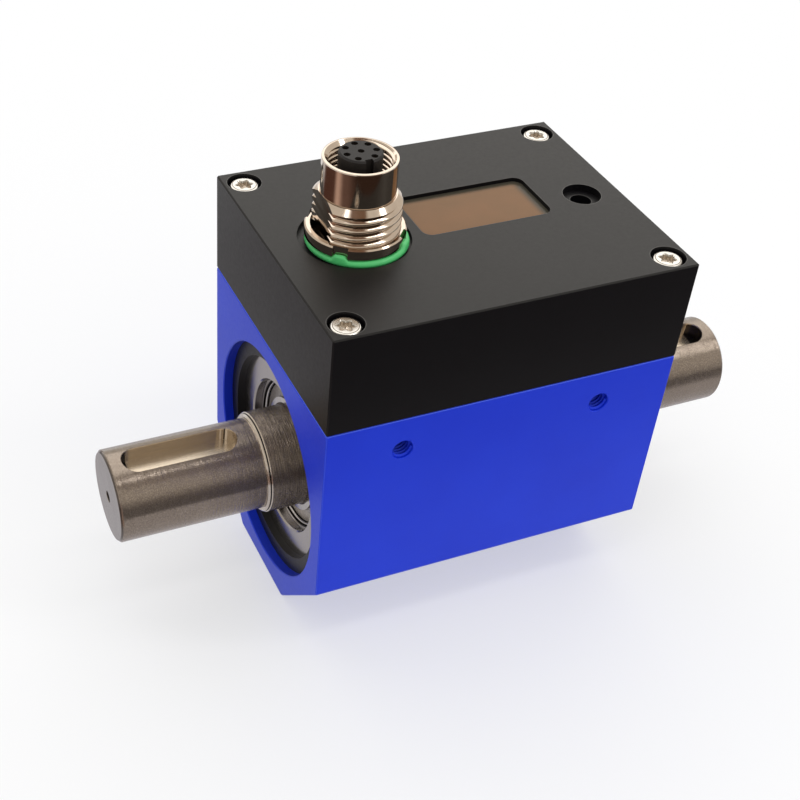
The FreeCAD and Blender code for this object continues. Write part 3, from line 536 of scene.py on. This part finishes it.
# %% The window
def smoked_window():
    """A brown film that fades out before it reaches the walls of the recess, into a grey border that is
    a painted reflection of the walls.
    """
    finish = Finish("smoked_window")

    def fade(value, side, inwards, start, end):
        """0 up to start mm inwards from a side, and 1 from end mm on."""
        return finish.step(value, side + inwards * start * MM, side + inwards * end * MM)

    x, y, _ = finish.axes()
    film = fade(x, window_low[0], 1, 0.1, 0.9) * fade(x, window_high[0], -1, 0.6, 2.5)
    film = film * fade(y, window_low[1], 1, 0.1, 0.9) * fade(y, window_high[1], -1, 0.5, 1.9)
    cloud = finish.noise(7 * MM)
    brown = finish.blend(cloud, colour(112, 84, 54), colour(130, 92, 60))
    # The grey border outside the brown film is a painted reflection of the recess walls.
    base = finish.blend(film, colour(66, 62, 52), brown)
    return finish.surface(Base_Color=base, Roughness=0.20 + 0.06 * cloud, Alpha=0.96,
                          Specular_IOR_Level=0.12)


# %% [markdown]
# ## The finishes by name
# The model's record names a material slot for every solid. The finishes are kept under the same names,
# with colours as they show on a screen, so dressing the solids is one loop. It changes their materials
# and leaves their meshes alone.

# %% Name every finish
finishes = {
    "blue_anodised": anodised_blue(),
    "black_anodised": anodised_black(),
    "turned_steel": turned_steel(),
    "bright_carrier": faced_metal("bright_carrier", (138, 133, 132), (176, 171, 169),
                                  rough=0.12, groove_depth=0.004 * MM),
    "bearing_steel": ring_steel("bearing_steel", (150, 146, 144), (198, 194, 190), rough=0.08,
                                gap_low=shield_radius - 0.10 * MM, gap_high=shield_radius + 0.22 * MM),
    "shield_steel": ring_steel("shield_steel", (128, 124, 119), (168, 163, 157), rough=0.22,
                               gap_low=shield_radius - 0.75 * MM, gap_high=shield_radius + 0.10 * MM),
    "stainless_screw": screw_steel(),
    "nickel_plate": smooth_metal("nickel_plate", (194, 179, 164), (212, 198, 184), rough=0.08),
    "contact_metal": smooth_metal("contact_metal", (176, 136, 66), (200, 160, 90), rough=0.25),
    "winding_copper": smooth_metal("winding_copper", (176, 98, 50), (202, 122, 70), rough=0.30),
    "disc_steel": faced_metal("disc_steel", (138, 138, 136), (160, 160, 158),
                              rough=0.28, groove_depth=0.004 * MM),
    "cage_polymer": moulded("cage_polymer", (200, 190, 160), rough=0.45),
    "green_rubber": green_rubber(),
    "black_rubber": moulded("black_rubber", (30, 30, 30), rough=0.55),
    "insert_plastic": moulded("insert_plastic", (24, 21, 20), rough=0.52, grain_size=0.22 * MM,
                              grain_depth=0.02 * MM, specular=0.3),
    "smoked_window": smoked_window(),
    "screen_glass": moulded("screen_glass", (70, 52, 38), rough=0.15),
    "board_green": moulded("board_green", (30, 100, 60), rough=0.35),
    "chip_black": moulded("chip_black", (34, 34, 34), rough=0.5),
    "former_plastic": moulded("former_plastic", (215, 210, 195), rough=0.45),
    "lead_insulation": moulded("lead_insulation", (170, 40, 35), rough=0.40),
    "gauge_foil": moulded("gauge_foil", (190, 140, 60), rough=0.30),
    "button_plastic": moulded("button_plastic", (24, 24, 25), rough=0.45),
}
print("finishes:", len(finishes))

# %% Give each solid its finish
slot_of = {entry["node"]: entry["material_slot"] for entry in frame["record"]["subparts"]}
for name, solid in nodes.items():
    solid.data.materials.clear()
    solid.data.materials.append(finishes[slot_of[name]])
print("solids dressed:", len(nodes))

# %% [markdown]
# ## Helpers for turned and threaded pieces
# A lathe makes a round part from one outline, so that is how these pieces are modelled: a single
# vertex is extruded from corner to corner of the outline, and Spin turns the outline about its axis.
# A thread is the same idea with the Screw modifier, which also moves the outline along the axis. It
# makes the groove as a piece of its own, and a Boolean cuts that out of the turned blank, so that the
# result is one closed mesh.

# %% Draw an outline
def nothing_selected():
    """Leaves edit mode and deselects everything, because an operator acts on all that is selected."""
    if bpy.context.mode != "OBJECT":
        bpy.ops.object.mode_set(mode="OBJECT")
    bpy.ops.object.select_all(action="DESELECT")


def draw_outline(name, corners, origin):
    """A closed outline of edges. Each corner is (x, y, z) from the origin, and edit mode stays on."""
    nothing_selected()
    bpy.ops.mesh.primitive_plane_add(size=MM, location=origin)
    piece = bpy.context.object
    piece.name = name
    bpy.ops.object.mode_set(mode="EDIT")
    bpy.ops.mesh.select_all(action="SELECT")
    bpy.ops.mesh.merge(type="CENTER")
    bpy.ops.transform.translate(value=Vector(corners[0]))
    for start, end in zip(corners, corners[1:] + corners[:1]):
        step = Vector(end) - Vector(start)
        bpy.ops.mesh.extrude_vertices_move(TRANSFORM_OT_translate={"value": step})
    bpy.ops.mesh.select_all(action="SELECT")
    bpy.ops.mesh.remove_doubles(threshold=0.002 * MM)
    return piece


# %% Turn or screw the outline
def spin_outline(centre, steps):
    """Turns the outline about an upright axis through centre and joins the seam."""
    bpy.ops.mesh.select_all(action="SELECT")
    bpy.ops.mesh.spin(steps=steps, angle=math.tau, center=centre, axis=(0, 0, 1))
    bpy.ops.mesh.select_all(action="SELECT")
    bpy.ops.mesh.remove_doubles(threshold=0.002 * MM)
    bpy.ops.mesh.normals_make_consistent(inside=False)
    bpy.ops.object.mode_set(mode="OBJECT")


def screw_outline(piece, axis, pitch, turns, steps):
    """Sweeps the outline along a helix, closes both ends and puts the origin back at 0."""
    bpy.ops.object.mode_set(mode="OBJECT")
    bpy.ops.object.modifier_add(type="SCREW")
    sweep = piece.modifiers[-1]
    sweep.axis = axis
    sweep.screw_offset = pitch
    sweep.iterations = turns
    sweep.steps = steps
    sweep.render_steps = steps
    bpy.ops.object.modifier_apply(modifier=sweep.name)
    bpy.ops.object.mode_set(mode="EDIT")
    bpy.ops.mesh.select_all(action="DESELECT")
    bpy.ops.mesh.select_non_manifold()
    bpy.ops.mesh.fill_holes(sides=0)
    bpy.ops.mesh.select_all(action="SELECT")
    bpy.ops.mesh.normals_make_consistent(inside=False)
    bpy.ops.object.mode_set(mode="OBJECT")
    bpy.ops.object.transform_apply(location=True, rotation=True, scale=True)


# %% Cut and finish a piece
def cut_away(piece, tool):
    """Cuts the tool out of the piece and throws the tool away."""
    nothing_selected()
    bpy.context.view_layer.objects.active = piece
    bpy.ops.object.modifier_add(type="BOOLEAN")
    cut = piece.modifiers[-1]
    cut.operation = "DIFFERENCE"
    cut.solver = "EXACT"
    cut.object = tool
    bpy.ops.object.modifier_apply(modifier=cut.name)
    bpy.data.objects.remove(tool)


def finish_piece(piece, slot, body, smooth_below=40):
    """Smooth shading, place in the mesh, finish, and the body that carries the piece."""
    nothing_selected()
    piece.select_set(True)
    bpy.context.view_layer.objects.active = piece
    bpy.ops.object.transform_apply(location=True, rotation=True, scale=True)
    bpy.ops.object.shade_smooth_by_angle(angle=math.radians(smooth_below))
    piece.data.materials.clear()
    piece.data.materials.append(finishes[slot])
    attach(piece, body)
    bpy.ops.object.mode_set(mode="EDIT")
    bpy.ops.mesh.select_all(action="DESELECT")
    bpy.ops.mesh.select_non_manifold()
    bpy.ops.object.mode_set(mode="OBJECT")
    open_edges = sum(1 for edge in piece.data.edges if edge.select)
    print(piece.name, len(piece.data.polygons), "faces,", open_edges, "open edges")


# %% The cutter of a thread
def thread_cutter(name, origin, crest, root, pitch, start, turns, steps, clear):
    """The helical groove between two ridges. It widens faster near the crest, which rounds the ridge."""
    flank = math.tan(math.radians(30))
    knee_share = 0.2
    lip_slope = 1.3
    side = 1 if crest > root else -1
    depth = abs(crest - root)
    knee = crest - side * knee_share * depth
    lip = crest + side * 0.01 * MM
    mouth = crest + side * clear
    at_root = 0.04 * pitch
    at_knee = at_root + flank * (1 - knee_share) * depth
    at_lip = at_knee + lip_slope * abs(lip - knee)
    upper_half = [(root, at_root), (knee, at_knee), (lip, at_lip), (mouth, at_lip)]
    outline = [(x, 0, start - half) for x, half in upper_half]
    outline += [(x, 0, start + half) for x, half in reversed(upper_half)]
    cutter = draw_outline(name, outline, origin)
    screw_outline(cutter, "Z", pitch, turns, steps)
    return cutter


print("modelling helpers ready")

# %% [markdown]
# ## The threaded shell of the connector
# The shell is turned from brass bar and plated. Outside, a fine 16 mm thread carries the ring nut and
# a flat stops it from turning in the cover. Inside is the 12 mm thread for the plug. The solid has
# plain ridges there, so this piece replaces it with the blank and cuts both threads as a helix. A
# short edge of 0.04 mm at each end of the barrel keeps the smooth shading of its neighbours off it.

# %% Sizes of the shell
shell_axis = (connector_x, connector_y, cover_top)
flange_radius = 10.0 * MM
flange_bottom = -5.2 * MM
flange_top = -3.2 * MM
thread_radius = 8.0 * MM
thread_root = 7.15 * MM
thread_pitch = 1.5 * MM
thread_top = 8.2 * MM
foot_radius = 6.9 * MM
chamfer_top = thread_top + thread_radius - foot_radius
neck_radius = 6.55 * MM
neck_top = chamfer_top + 0.12 * MM
barrel_radius = 6.65 * MM
rim_top = 15.85 * MM
rim_break = 0.25 * MM
rim_round = 0.3 * rim_break
rim_inner = 6.15 * MM
edge_hold = 0.04 * MM
inner_crest = 5.45 * MM
inner_root = 5.95 * MM
inner_pitch = 1.0 * MM
bore_floor = 7.5 * MM
core_radius = 6.0 * MM
flat_distance = 6.6 * MM
print("flange from", round(flange_bottom / MM, 2), "to", round(flange_top / MM, 2),
      "rim at", round(rim_top / MM, 2))

# %% Turn the blank
mouth = rim_top - rim_inner + inner_crest
blank_outline = [
    (core_radius, flange_bottom), (flange_radius, flange_bottom), (flange_radius, flange_top),
    (thread_radius, flange_top), (thread_radius, thread_top), (foot_radius, chamfer_top),
    (neck_radius, chamfer_top), (neck_radius, neck_top), (barrel_radius, neck_top + edge_hold),
    (barrel_radius, rim_top - rim_break - edge_hold), (barrel_radius, rim_top - rim_break),
    (barrel_radius - rim_round, rim_top - rim_round), (barrel_radius - rim_break, rim_top),
    (rim_inner, rim_top), (inner_crest, mouth), (inner_crest, bore_floor), (core_radius, bore_floor)]
threaded_shell = draw_outline("threaded_shell", [(x, 0, z) for x, z in blank_outline], shell_axis)
spin_outline(shell_axis, steps=96)
print("blank:", len(threaded_shell.data.polygons), "faces")

# %% Cut both threads and the flat
outer_cutter = thread_cutter(
    "outer_cutter", shell_axis, crest=thread_radius, root=thread_root, pitch=thread_pitch,
    start=flange_top + 0.7 * thread_pitch, turns=8, steps=83, clear=0.04 * MM)
cut_away(threaded_shell, outer_cutter)
inner_cutter = thread_cutter(
    "inner_cutter", shell_axis, crest=inner_crest, root=inner_root, pitch=inner_pitch,
    start=bore_floor + inner_pitch, turns=8, steps=83, clear=0.03 * MM)
cut_away(threaded_shell, inner_cutter)

nothing_selected()
flat_height = chamfer_top - flange_top
flat_middle = (connector_x - flat_distance - flange_radius, connector_y,
               cover_top + flange_top + flat_height / 2)
bpy.ops.mesh.primitive_cube_add(size=1.0, location=flat_middle,
                                scale=(2 * flange_radius, 3 * flange_radius, flat_height))
flat_cutter = bpy.context.object
bpy.ops.object.transform_apply(location=True, rotation=True, scale=True)
cut_away(threaded_shell, flat_cutter)
finish_piece(threaded_shell, "nickel_plate", "body")
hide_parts("connector_shell")

# %% [markdown]
# ## The green seal
# The nut squeezes a rubber ring against the cover. Rubber keeps its volume, so the ring bulges out
# beside the nut, more at the front than at the back, and swells up into the nut's notches. A torus
# is the start. The points under each notch are lifted in two steps, which gives the swelling a
# shoulder, and smooth shading rounds it off.

# %% Squeeze the seal
seal_shift = Vector((0.33, -0.25, 0)) * MM
seal_middle = Vector((connector_x, connector_y, (seal_low[2] + seal_high[2]) / 2)) + seal_shift
seal_section = 0.70 * MM
seal_outer = 9.31 * MM
first_notch = -131.0
notch_angles = [math.radians(first_notch + 90.0 * quarter) for quarter in range(4)]
notch_floor = 8.35 * MM

nothing_selected()
bpy.ops.mesh.primitive_torus_add(major_radius=seal_outer - seal_section, minor_radius=seal_section,
                                 major_segments=160, minor_segments=32, location=seal_middle)
swollen_seal = bpy.context.object
swollen_seal.name = "swollen_seal"


def lift_under_notches(reach, inner, rise):
    """Lifts the ring's top within reach of each notch's middle and past inner from the axis."""
    for angle in notch_angles:
        bpy.ops.object.mode_set(mode="EDIT")
        bpy.ops.mesh.select_all(action="DESELECT")
        bpy.ops.object.mode_set(mode="OBJECT")
        out = Vector((math.cos(angle), math.sin(angle), 0))
        side = Vector((-out.y, out.x, 0))
        for vertex in swollen_seal.data.vertices:
            flat = Vector((vertex.co.x, vertex.co.y, 0)) + seal_shift
            below_notch = abs(flat.dot(side)) < reach and flat.dot(out) > 0
            vertex.select = below_notch and flat.length > inner and vertex.co.z > 0.2 * seal_section
        bpy.ops.object.mode_set(mode="EDIT")
        bpy.ops.transform.translate(value=(0, 0, rise))
    bpy.ops.object.mode_set(mode="OBJECT")


lift_under_notches(reach=1.28 * MM, inner=notch_floor + 0.12 * MM, rise=0.4 * MM)
lift_under_notches(reach=1.05 * MM, inner=notch_floor + 0.2 * MM, rise=0.35 * MM)
finish_piece(swollen_seal, "green_rubber", "body", smooth_below=80)
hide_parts("connector_o_ring")

# %% [markdown]
# ## The cover's screws
# Four cap screws with a six-lobed recess hold the cover. A screw is turned like the shell, its thread
# is cut by the same helical cutter, and the recess is one outline whose radius swells six times round.
# One screw is made, then copied to the other corners, and each copy is turned by its own angle.

# %% Turn one screw
head_top = screws_high[2]
head_height = 3.0 * MM
screw_length = head_top - head_height - screws_low[2]
underside = -head_height
tip = underside - screw_length
tip_point = 0.45 * MM
shank_radius = 1.5 * MM
shank_root = 1.2 * MM
screw_pitch = 0.5 * MM
# The head's rounded edge in millimetres, from its side to its flat top. The first short edge holds it.
head_edge = [(2.90, -0.99), (2.90, -0.95), (2.85, -0.62), (2.73, -0.33), (2.56, -0.13), (2.36, -0.03),
             (2.18, 0)]
screw_axis = (screw_x, screw_y, head_top)

screw_corners = [(0, tip), (shank_root, tip), (shank_radius, tip + tip_point), (shank_radius, underside),
                 (screw_head_radius, underside), *[(x * MM, z * MM) for x, z in head_edge], (0, 0)]
cover_screw = draw_outline("cover_screw", [(x, 0, z) for x, z in screw_corners], screw_axis)
spin_outline(screw_axis, steps=48)
print("blank:", len(cover_screw.data.polygons), "faces")

# %% Cut its thread
screw_turns = int((screw_length - 2 * screw_pitch) / screw_pitch)
screw_cutter = thread_cutter(
    "screw_cutter", screw_axis, crest=shank_radius, root=shank_root, pitch=screw_pitch,
    start=tip + screw_pitch, turns=screw_turns, steps=23, clear=0.04 * MM)
cut_away(cover_screw, screw_cutter)
print("screw:", len(cover_screw.data.polygons), "faces")

# %% Sink the recess and copy the screw
recess_middle = 1.31 * MM
recess_swell = 0.22 * MM
recess_depth = 0.85 * MM
recess_break = 0.18 * MM
recess_lobes = 6
recess_steps = 12 * recess_lobes
# The sides of the other three corners, and the angle that each copy is turned by.
other_corners = [(-1, 1, 0.13), (-1, -1, 0.42), (1, -1, 0.71)]


def recess_cutter():
    """A six-lobed plug that flares where it meets the top of the head."""
    corners = []
    for step in range(recess_steps):
        angle = math.tau * step / recess_steps
        radius = recess_middle + recess_swell * math.cos(recess_lobes * angle)
        corners.append((radius * math.cos(angle), radius * math.sin(angle), -recess_depth))
    cutter = draw_outline("recess_cutter", corners, screw_axis)
    flare = 1 + 2 * recess_break / recess_middle
    bpy.ops.mesh.edge_face_add()
    for rise in (recess_depth - recess_break, 2 * recess_break):
        bpy.ops.mesh.extrude_region_move(TRANSFORM_OT_translate={"value": (0, 0, rise)})
    bpy.ops.transform.resize(value=(flare, flare, 1), center_override=screw_axis)
    bpy.ops.mesh.select_all(action="SELECT")
    bpy.ops.mesh.normals_make_consistent(inside=False)
    bpy.ops.object.mode_set(mode="OBJECT")
    return cutter


cut_away(cover_screw, recess_cutter())
screws = [cover_screw]
for side_x, side_y, angle in other_corners:
    nothing_selected()
    cover_screw.select_set(True)
    bpy.context.view_layer.objects.active = cover_screw
    bpy.ops.object.duplicate(linked=False)
    bpy.ops.transform.rotate(value=angle, orient_axis="Z", center_override=screw_axis)
    bpy.ops.transform.translate(value=((side_x - 1) * screw_x, (side_y - 1) * screw_y, 0))
    screws.append(bpy.context.object)
nothing_selected()
for screw in screws:
    screw.select_set(True)
bpy.context.view_layer.objects.active = cover_screw
bpy.ops.object.join()
cover_screw.name = "threaded_cover_screws"
finish_piece(cover_screw, "stainless_screw", "body")
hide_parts("cover_screws")

# %% [markdown]
# ## Threads in the two front holes
# The mounting holes are tapped for 4 mm screws. Each gets the ridge of its thread as a helix that
# starts about one turn inside the hole, with its foot on the wall that the solid already has.

# %% Tap the front holes
hole_radius = 1.99 * MM
hole_minor = 1.66 * MM
hole_pitch = 0.7 * MM
hole_x = 20.0 * MM
hole_z = shaft_z + 20.5 * MM
hole_start = 0.45 * MM


def tapped_hole(name, x):
    """The ridge of a thread that stands on the wall of the hole."""
    foot = 0.42 * hole_pitch
    crest = 0.07 * hole_pitch
    ridge = [(hole_radius, -foot), (hole_minor, -crest), (hole_minor, crest), (hole_radius, foot)]
    ridge_start = (x, -half_width + hole_start + foot, hole_z)
    thread = draw_outline(name, [(out, along, 0) for out, along in ridge], ridge_start)
    screw_outline(thread, "Y", pitch=hole_pitch, turns=8, steps=40)
    finish_piece(thread, "blue_anodised", "body")


tapped_hole("front_thread_left", -hole_x)
tapped_hole("front_thread_right", hole_x)

# %% [markdown]
# ## Floor
# The floor is plain and pale. A diffuse floor alone looks grey in the corners, so for rays that see it
# directly or through gloss and glass it is mixed with a plain white glow, and the mix grows with the
# distance from the sensor. Close by, the diffuse part stays strong enough to show the shadow.

# %% White where it is seen
def white_ray(finish):
    """1 for rays that see the background: from the camera, or through gloss and glass."""
    outputs = finish.node("ShaderNodeLightPath").output.node.outputs
    camera_ray = Socket(finish, outputs["Is Camera Ray"])
    glossy_ray = Socket(finish, outputs["Is Glossy Ray"])
    through_ray = Socket(finish, outputs["Is Transmission Ray"])
    return camera_ray.at_least(glossy_ray).at_least(through_ray)


def glow(finish, shade):
    """A plain glow that shows as the colour it is given."""
    return finish.node("ShaderNodeEmission", {}, {"Color": shade, "Strength": 1.0})


# %% Lay the floor
shadow_reach = 0.06
white_from = 0.26


def floor_finish():
    """Matt close to the sensor and more and more glowing further out."""
    finish = Finish("pale_floor")
    x, y, _ = finish.axes()
    far = 0.5 + 0.5 * finish.step((x * x + y * y).root(), shadow_reach, white_from)
    matt = finish.node("ShaderNodeBsdfDiffuse", {}, {"Color": (0.88, 0.87, 0.85, 1.0)})
    white = glow(finish, (1.0, 1.0, 1.0, 1.0))
    mask = far * white_ray(finish)
    return finish.show(finish.node("ShaderNodeMixShader", {}, {0: mask, 1: matt, 2: white}))


def stage_card(name, place, size, turned, material):
    """A flat card of the studio, which isn't part of the sensor."""
    nothing_selected()
    bpy.ops.mesh.primitive_plane_add(size=1.0, location=place, rotation=turned)
    card = bpy.context.object
    card.name = name
    card.scale = (*size, 1.0)
    bpy.ops.object.transform_apply(location=True, rotation=True, scale=True)
    card.data.materials.append(material)
    return card


flat = (0, 0, 0)
stage_card("floor", (0, 0, -0.0002), (8.0, 8.0), flat, floor_finish())
print("floor laid")

# %% [markdown]
# ## Cards that the metal reflects
# Polished metal has no colour of its own: it shows what stands around it. In an all-white room it
# looks like paper, so a photographer puts dark cards where the metal should look dark. These cards
# are only seen in reflections. A pale one lies under the sensor. Of the dark ones, one lies in front,
# one stands at its far edge, and one hangs overhead and darkens the thread. On the left a paler streak
# between two darker cards gives the connector's barrel its upright highlight.

# %% A card that only reflections see
def card_finish(name, shown, fades):
    """A glow that fades out. Each fade is (axis, where it is clear, where it is solid)."""
    finish = Finish(name)
    axes = finish.axes()
    solid = 1.0
    for axis, clear_at, solid_at in fades:
        solid = finish.step(axes[axis], clear_at, solid_at) * solid
    clear = finish.node("ShaderNodeBsdfTransparent")
    shade = glow(finish, colour(*shown))
    return finish.show(finish.node("ShaderNodeMixShader", {}, {0: solid, 1: clear, 2: shade}))


def reflected_card(name, place, size, turned, shown, fades):
    """A card that neither the camera nor the light on the sensor notices."""
    card = stage_card(name, place, size, turned, card_finish(name, shown, fades))
    card.visible_camera = False
    card.visible_diffuse = False
    card.visible_shadow = False
    card.visible_transmission = False


print("card helpers ready")

# %% Place the cards
X, Y, Z = range(3)
upright = (math.radians(90), 0, 0)
far_left = (X, -0.49, -0.40)

# The pale one lies under the sensor and reaches behind it.
reflected_card("card_near", (0.0, 0.06, -0.0001), (1.0, 0.27), flat, (214, 211, 214),
               [far_left, (X, 0.49, 0.40), (Y, 0.19, 0.10)])

# One lies in front of the sensor, and one stands at its far edge.
reflected_card("card_front", (0.05, -0.37, 0.0004), (1.0, 0.6), flat, (58, 42, 34),
               [(Y, -0.068, -0.072)])
reflected_card("card_standing", (0.05, -0.67, 0.20), (1.0, 0.4), upright, (84, 66, 54),
               [(Z, 0.38, 0.02)])

# Two lie to the left of the sensor, and the paler streak shows between them.
reflected_card("card_left", (-0.29, -0.065, 0.0006), (0.40, 0.17), flat, (108, 84, 74),
               [(X, -0.088, -0.100), (Y, -0.010, -0.060), (Y, -0.15, -0.08), far_left])
reflected_card("card_behind", (-0.29, 0.07, 0.0008), (0.40, 0.17), flat, (86, 58, 48),
               [(X, -0.075, -0.090), (Y, -0.006, 0.035), (Y, 0.154, 0.12), far_left])
reflected_card("card_streak", (-0.29, 0.01, 0.0003), (0.40, 0.14), flat, (204, 172, 156),
               [(X, -0.088, -0.100)])

# One hangs overhead, in front.
reflected_card("card_above", (-0.12, -0.29, 0.57), (0.40, 0.54), flat, (124, 94, 72),
               [(X, -0.32, -0.22), (X, 0.08, 0.0), (Y, -0.56, -0.44), (Y, -0.02, -0.12)])
print("cards placed")

# %% [markdown]
# ## World and lamps
# The world gives a weak bluish light. It is white where it is seen and a warm white in reflections. A
# large lamp above and behind gives the cover its sheen, a strip overhead draws the bright line along
# the shaft, a small lamp to the right puts a white point on the connector's bevel, and two soft lamps
# fill the end and the front.

# %% Set the world
world = bpy.data.worlds.new("studio")
bpy.context.scene.world = world
world.use_nodes = True
tree = world.node_tree
tree.nodes.clear()


def background(shade, strength=1.0):
    """A plain background."""
    made = tree.nodes.new("ShaderNodeBackground")
    made.inputs["Color"].default_value = shade
    made.inputs["Strength"].default_value = strength
    return made.outputs[0]


def choose(mask, plain, chosen):
    """The plain background, or the chosen one where the mask is 1."""
    made = tree.nodes.new("ShaderNodeMixShader")
    for index, output in enumerate((mask, plain, chosen)):
        tree.links.new(output, made.inputs[index])
    return made.outputs[0]


rays = tree.nodes.new("ShaderNodeLightPath").outputs
seen = tree.nodes.new("ShaderNodeMath")
seen.operation = "MAXIMUM"
tree.links.new(rays["Is Camera Ray"], seen.inputs[0])
tree.links.new(rays["Is Transmission Ray"], seen.inputs[1])
light = background((0.9, 0.93, 1.0, 1.0), strength=0.42)
reflected = background(colour(230, 222, 210))
white = background((1.0, 1.0, 1.0, 1.0))
unseen = choose(rays["Is Glossy Ray"], light, reflected)
sky = tree.nodes.new("ShaderNodeOutputWorld")
tree.links.new(choose(seen.outputs[0], unseen, white), sky.inputs[0])
print("world set")

# %% Hang the lamps
aim_point = Vector((0, 0, 0.04))


def soft_lamp(name, place, size, power, in_gloss=True, aimed=True):
    """A rectangular lamp of so many watts. It points straight down unless it is aimed."""
    data = bpy.data.lights.new(name, "AREA")
    data.shape = "RECTANGLE"
    data.size, data.size_y = size
    data.energy = power
    lamp = bpy.data.objects.new(name, data)
    lamp.location = place
    if aimed:
        aim = aim_point - Vector(place)
        lamp.rotation_euler = aim.to_track_quat("-Z", "Y").to_euler()
    lamp.visible_glossy = in_gloss
    bpy.context.scene.collection.objects.link(lamp)


soft_lamp("lamp_top", (0.10, 0.35, 0.55), (1.1, 0.9), power=3.7)
soft_lamp("lamp_strip", (-0.02, -0.20, 0.60), (0.7, 0.08), power=0.7, aimed=False)
soft_lamp("lamp_point", (0.405, -0.275, 0.57), (0.12, 0.26), power=0.5)
soft_lamp("lamp_left", (-0.60, 0.05, 0.35), (0.7, 0.7), power=0.8, in_gloss=False)
soft_lamp("lamp_front", (0.15, -0.60, 0.30), (0.9, 0.6), power=1.6, in_gloss=False)
print("lamps:", len(bpy.data.lights))

# %% [markdown]
# ## Picture settings
# The Standard view shows a colour as it was written.

# %% Choose the view
scene = bpy.context.scene
scene.view_settings.view_transform = "Standard"
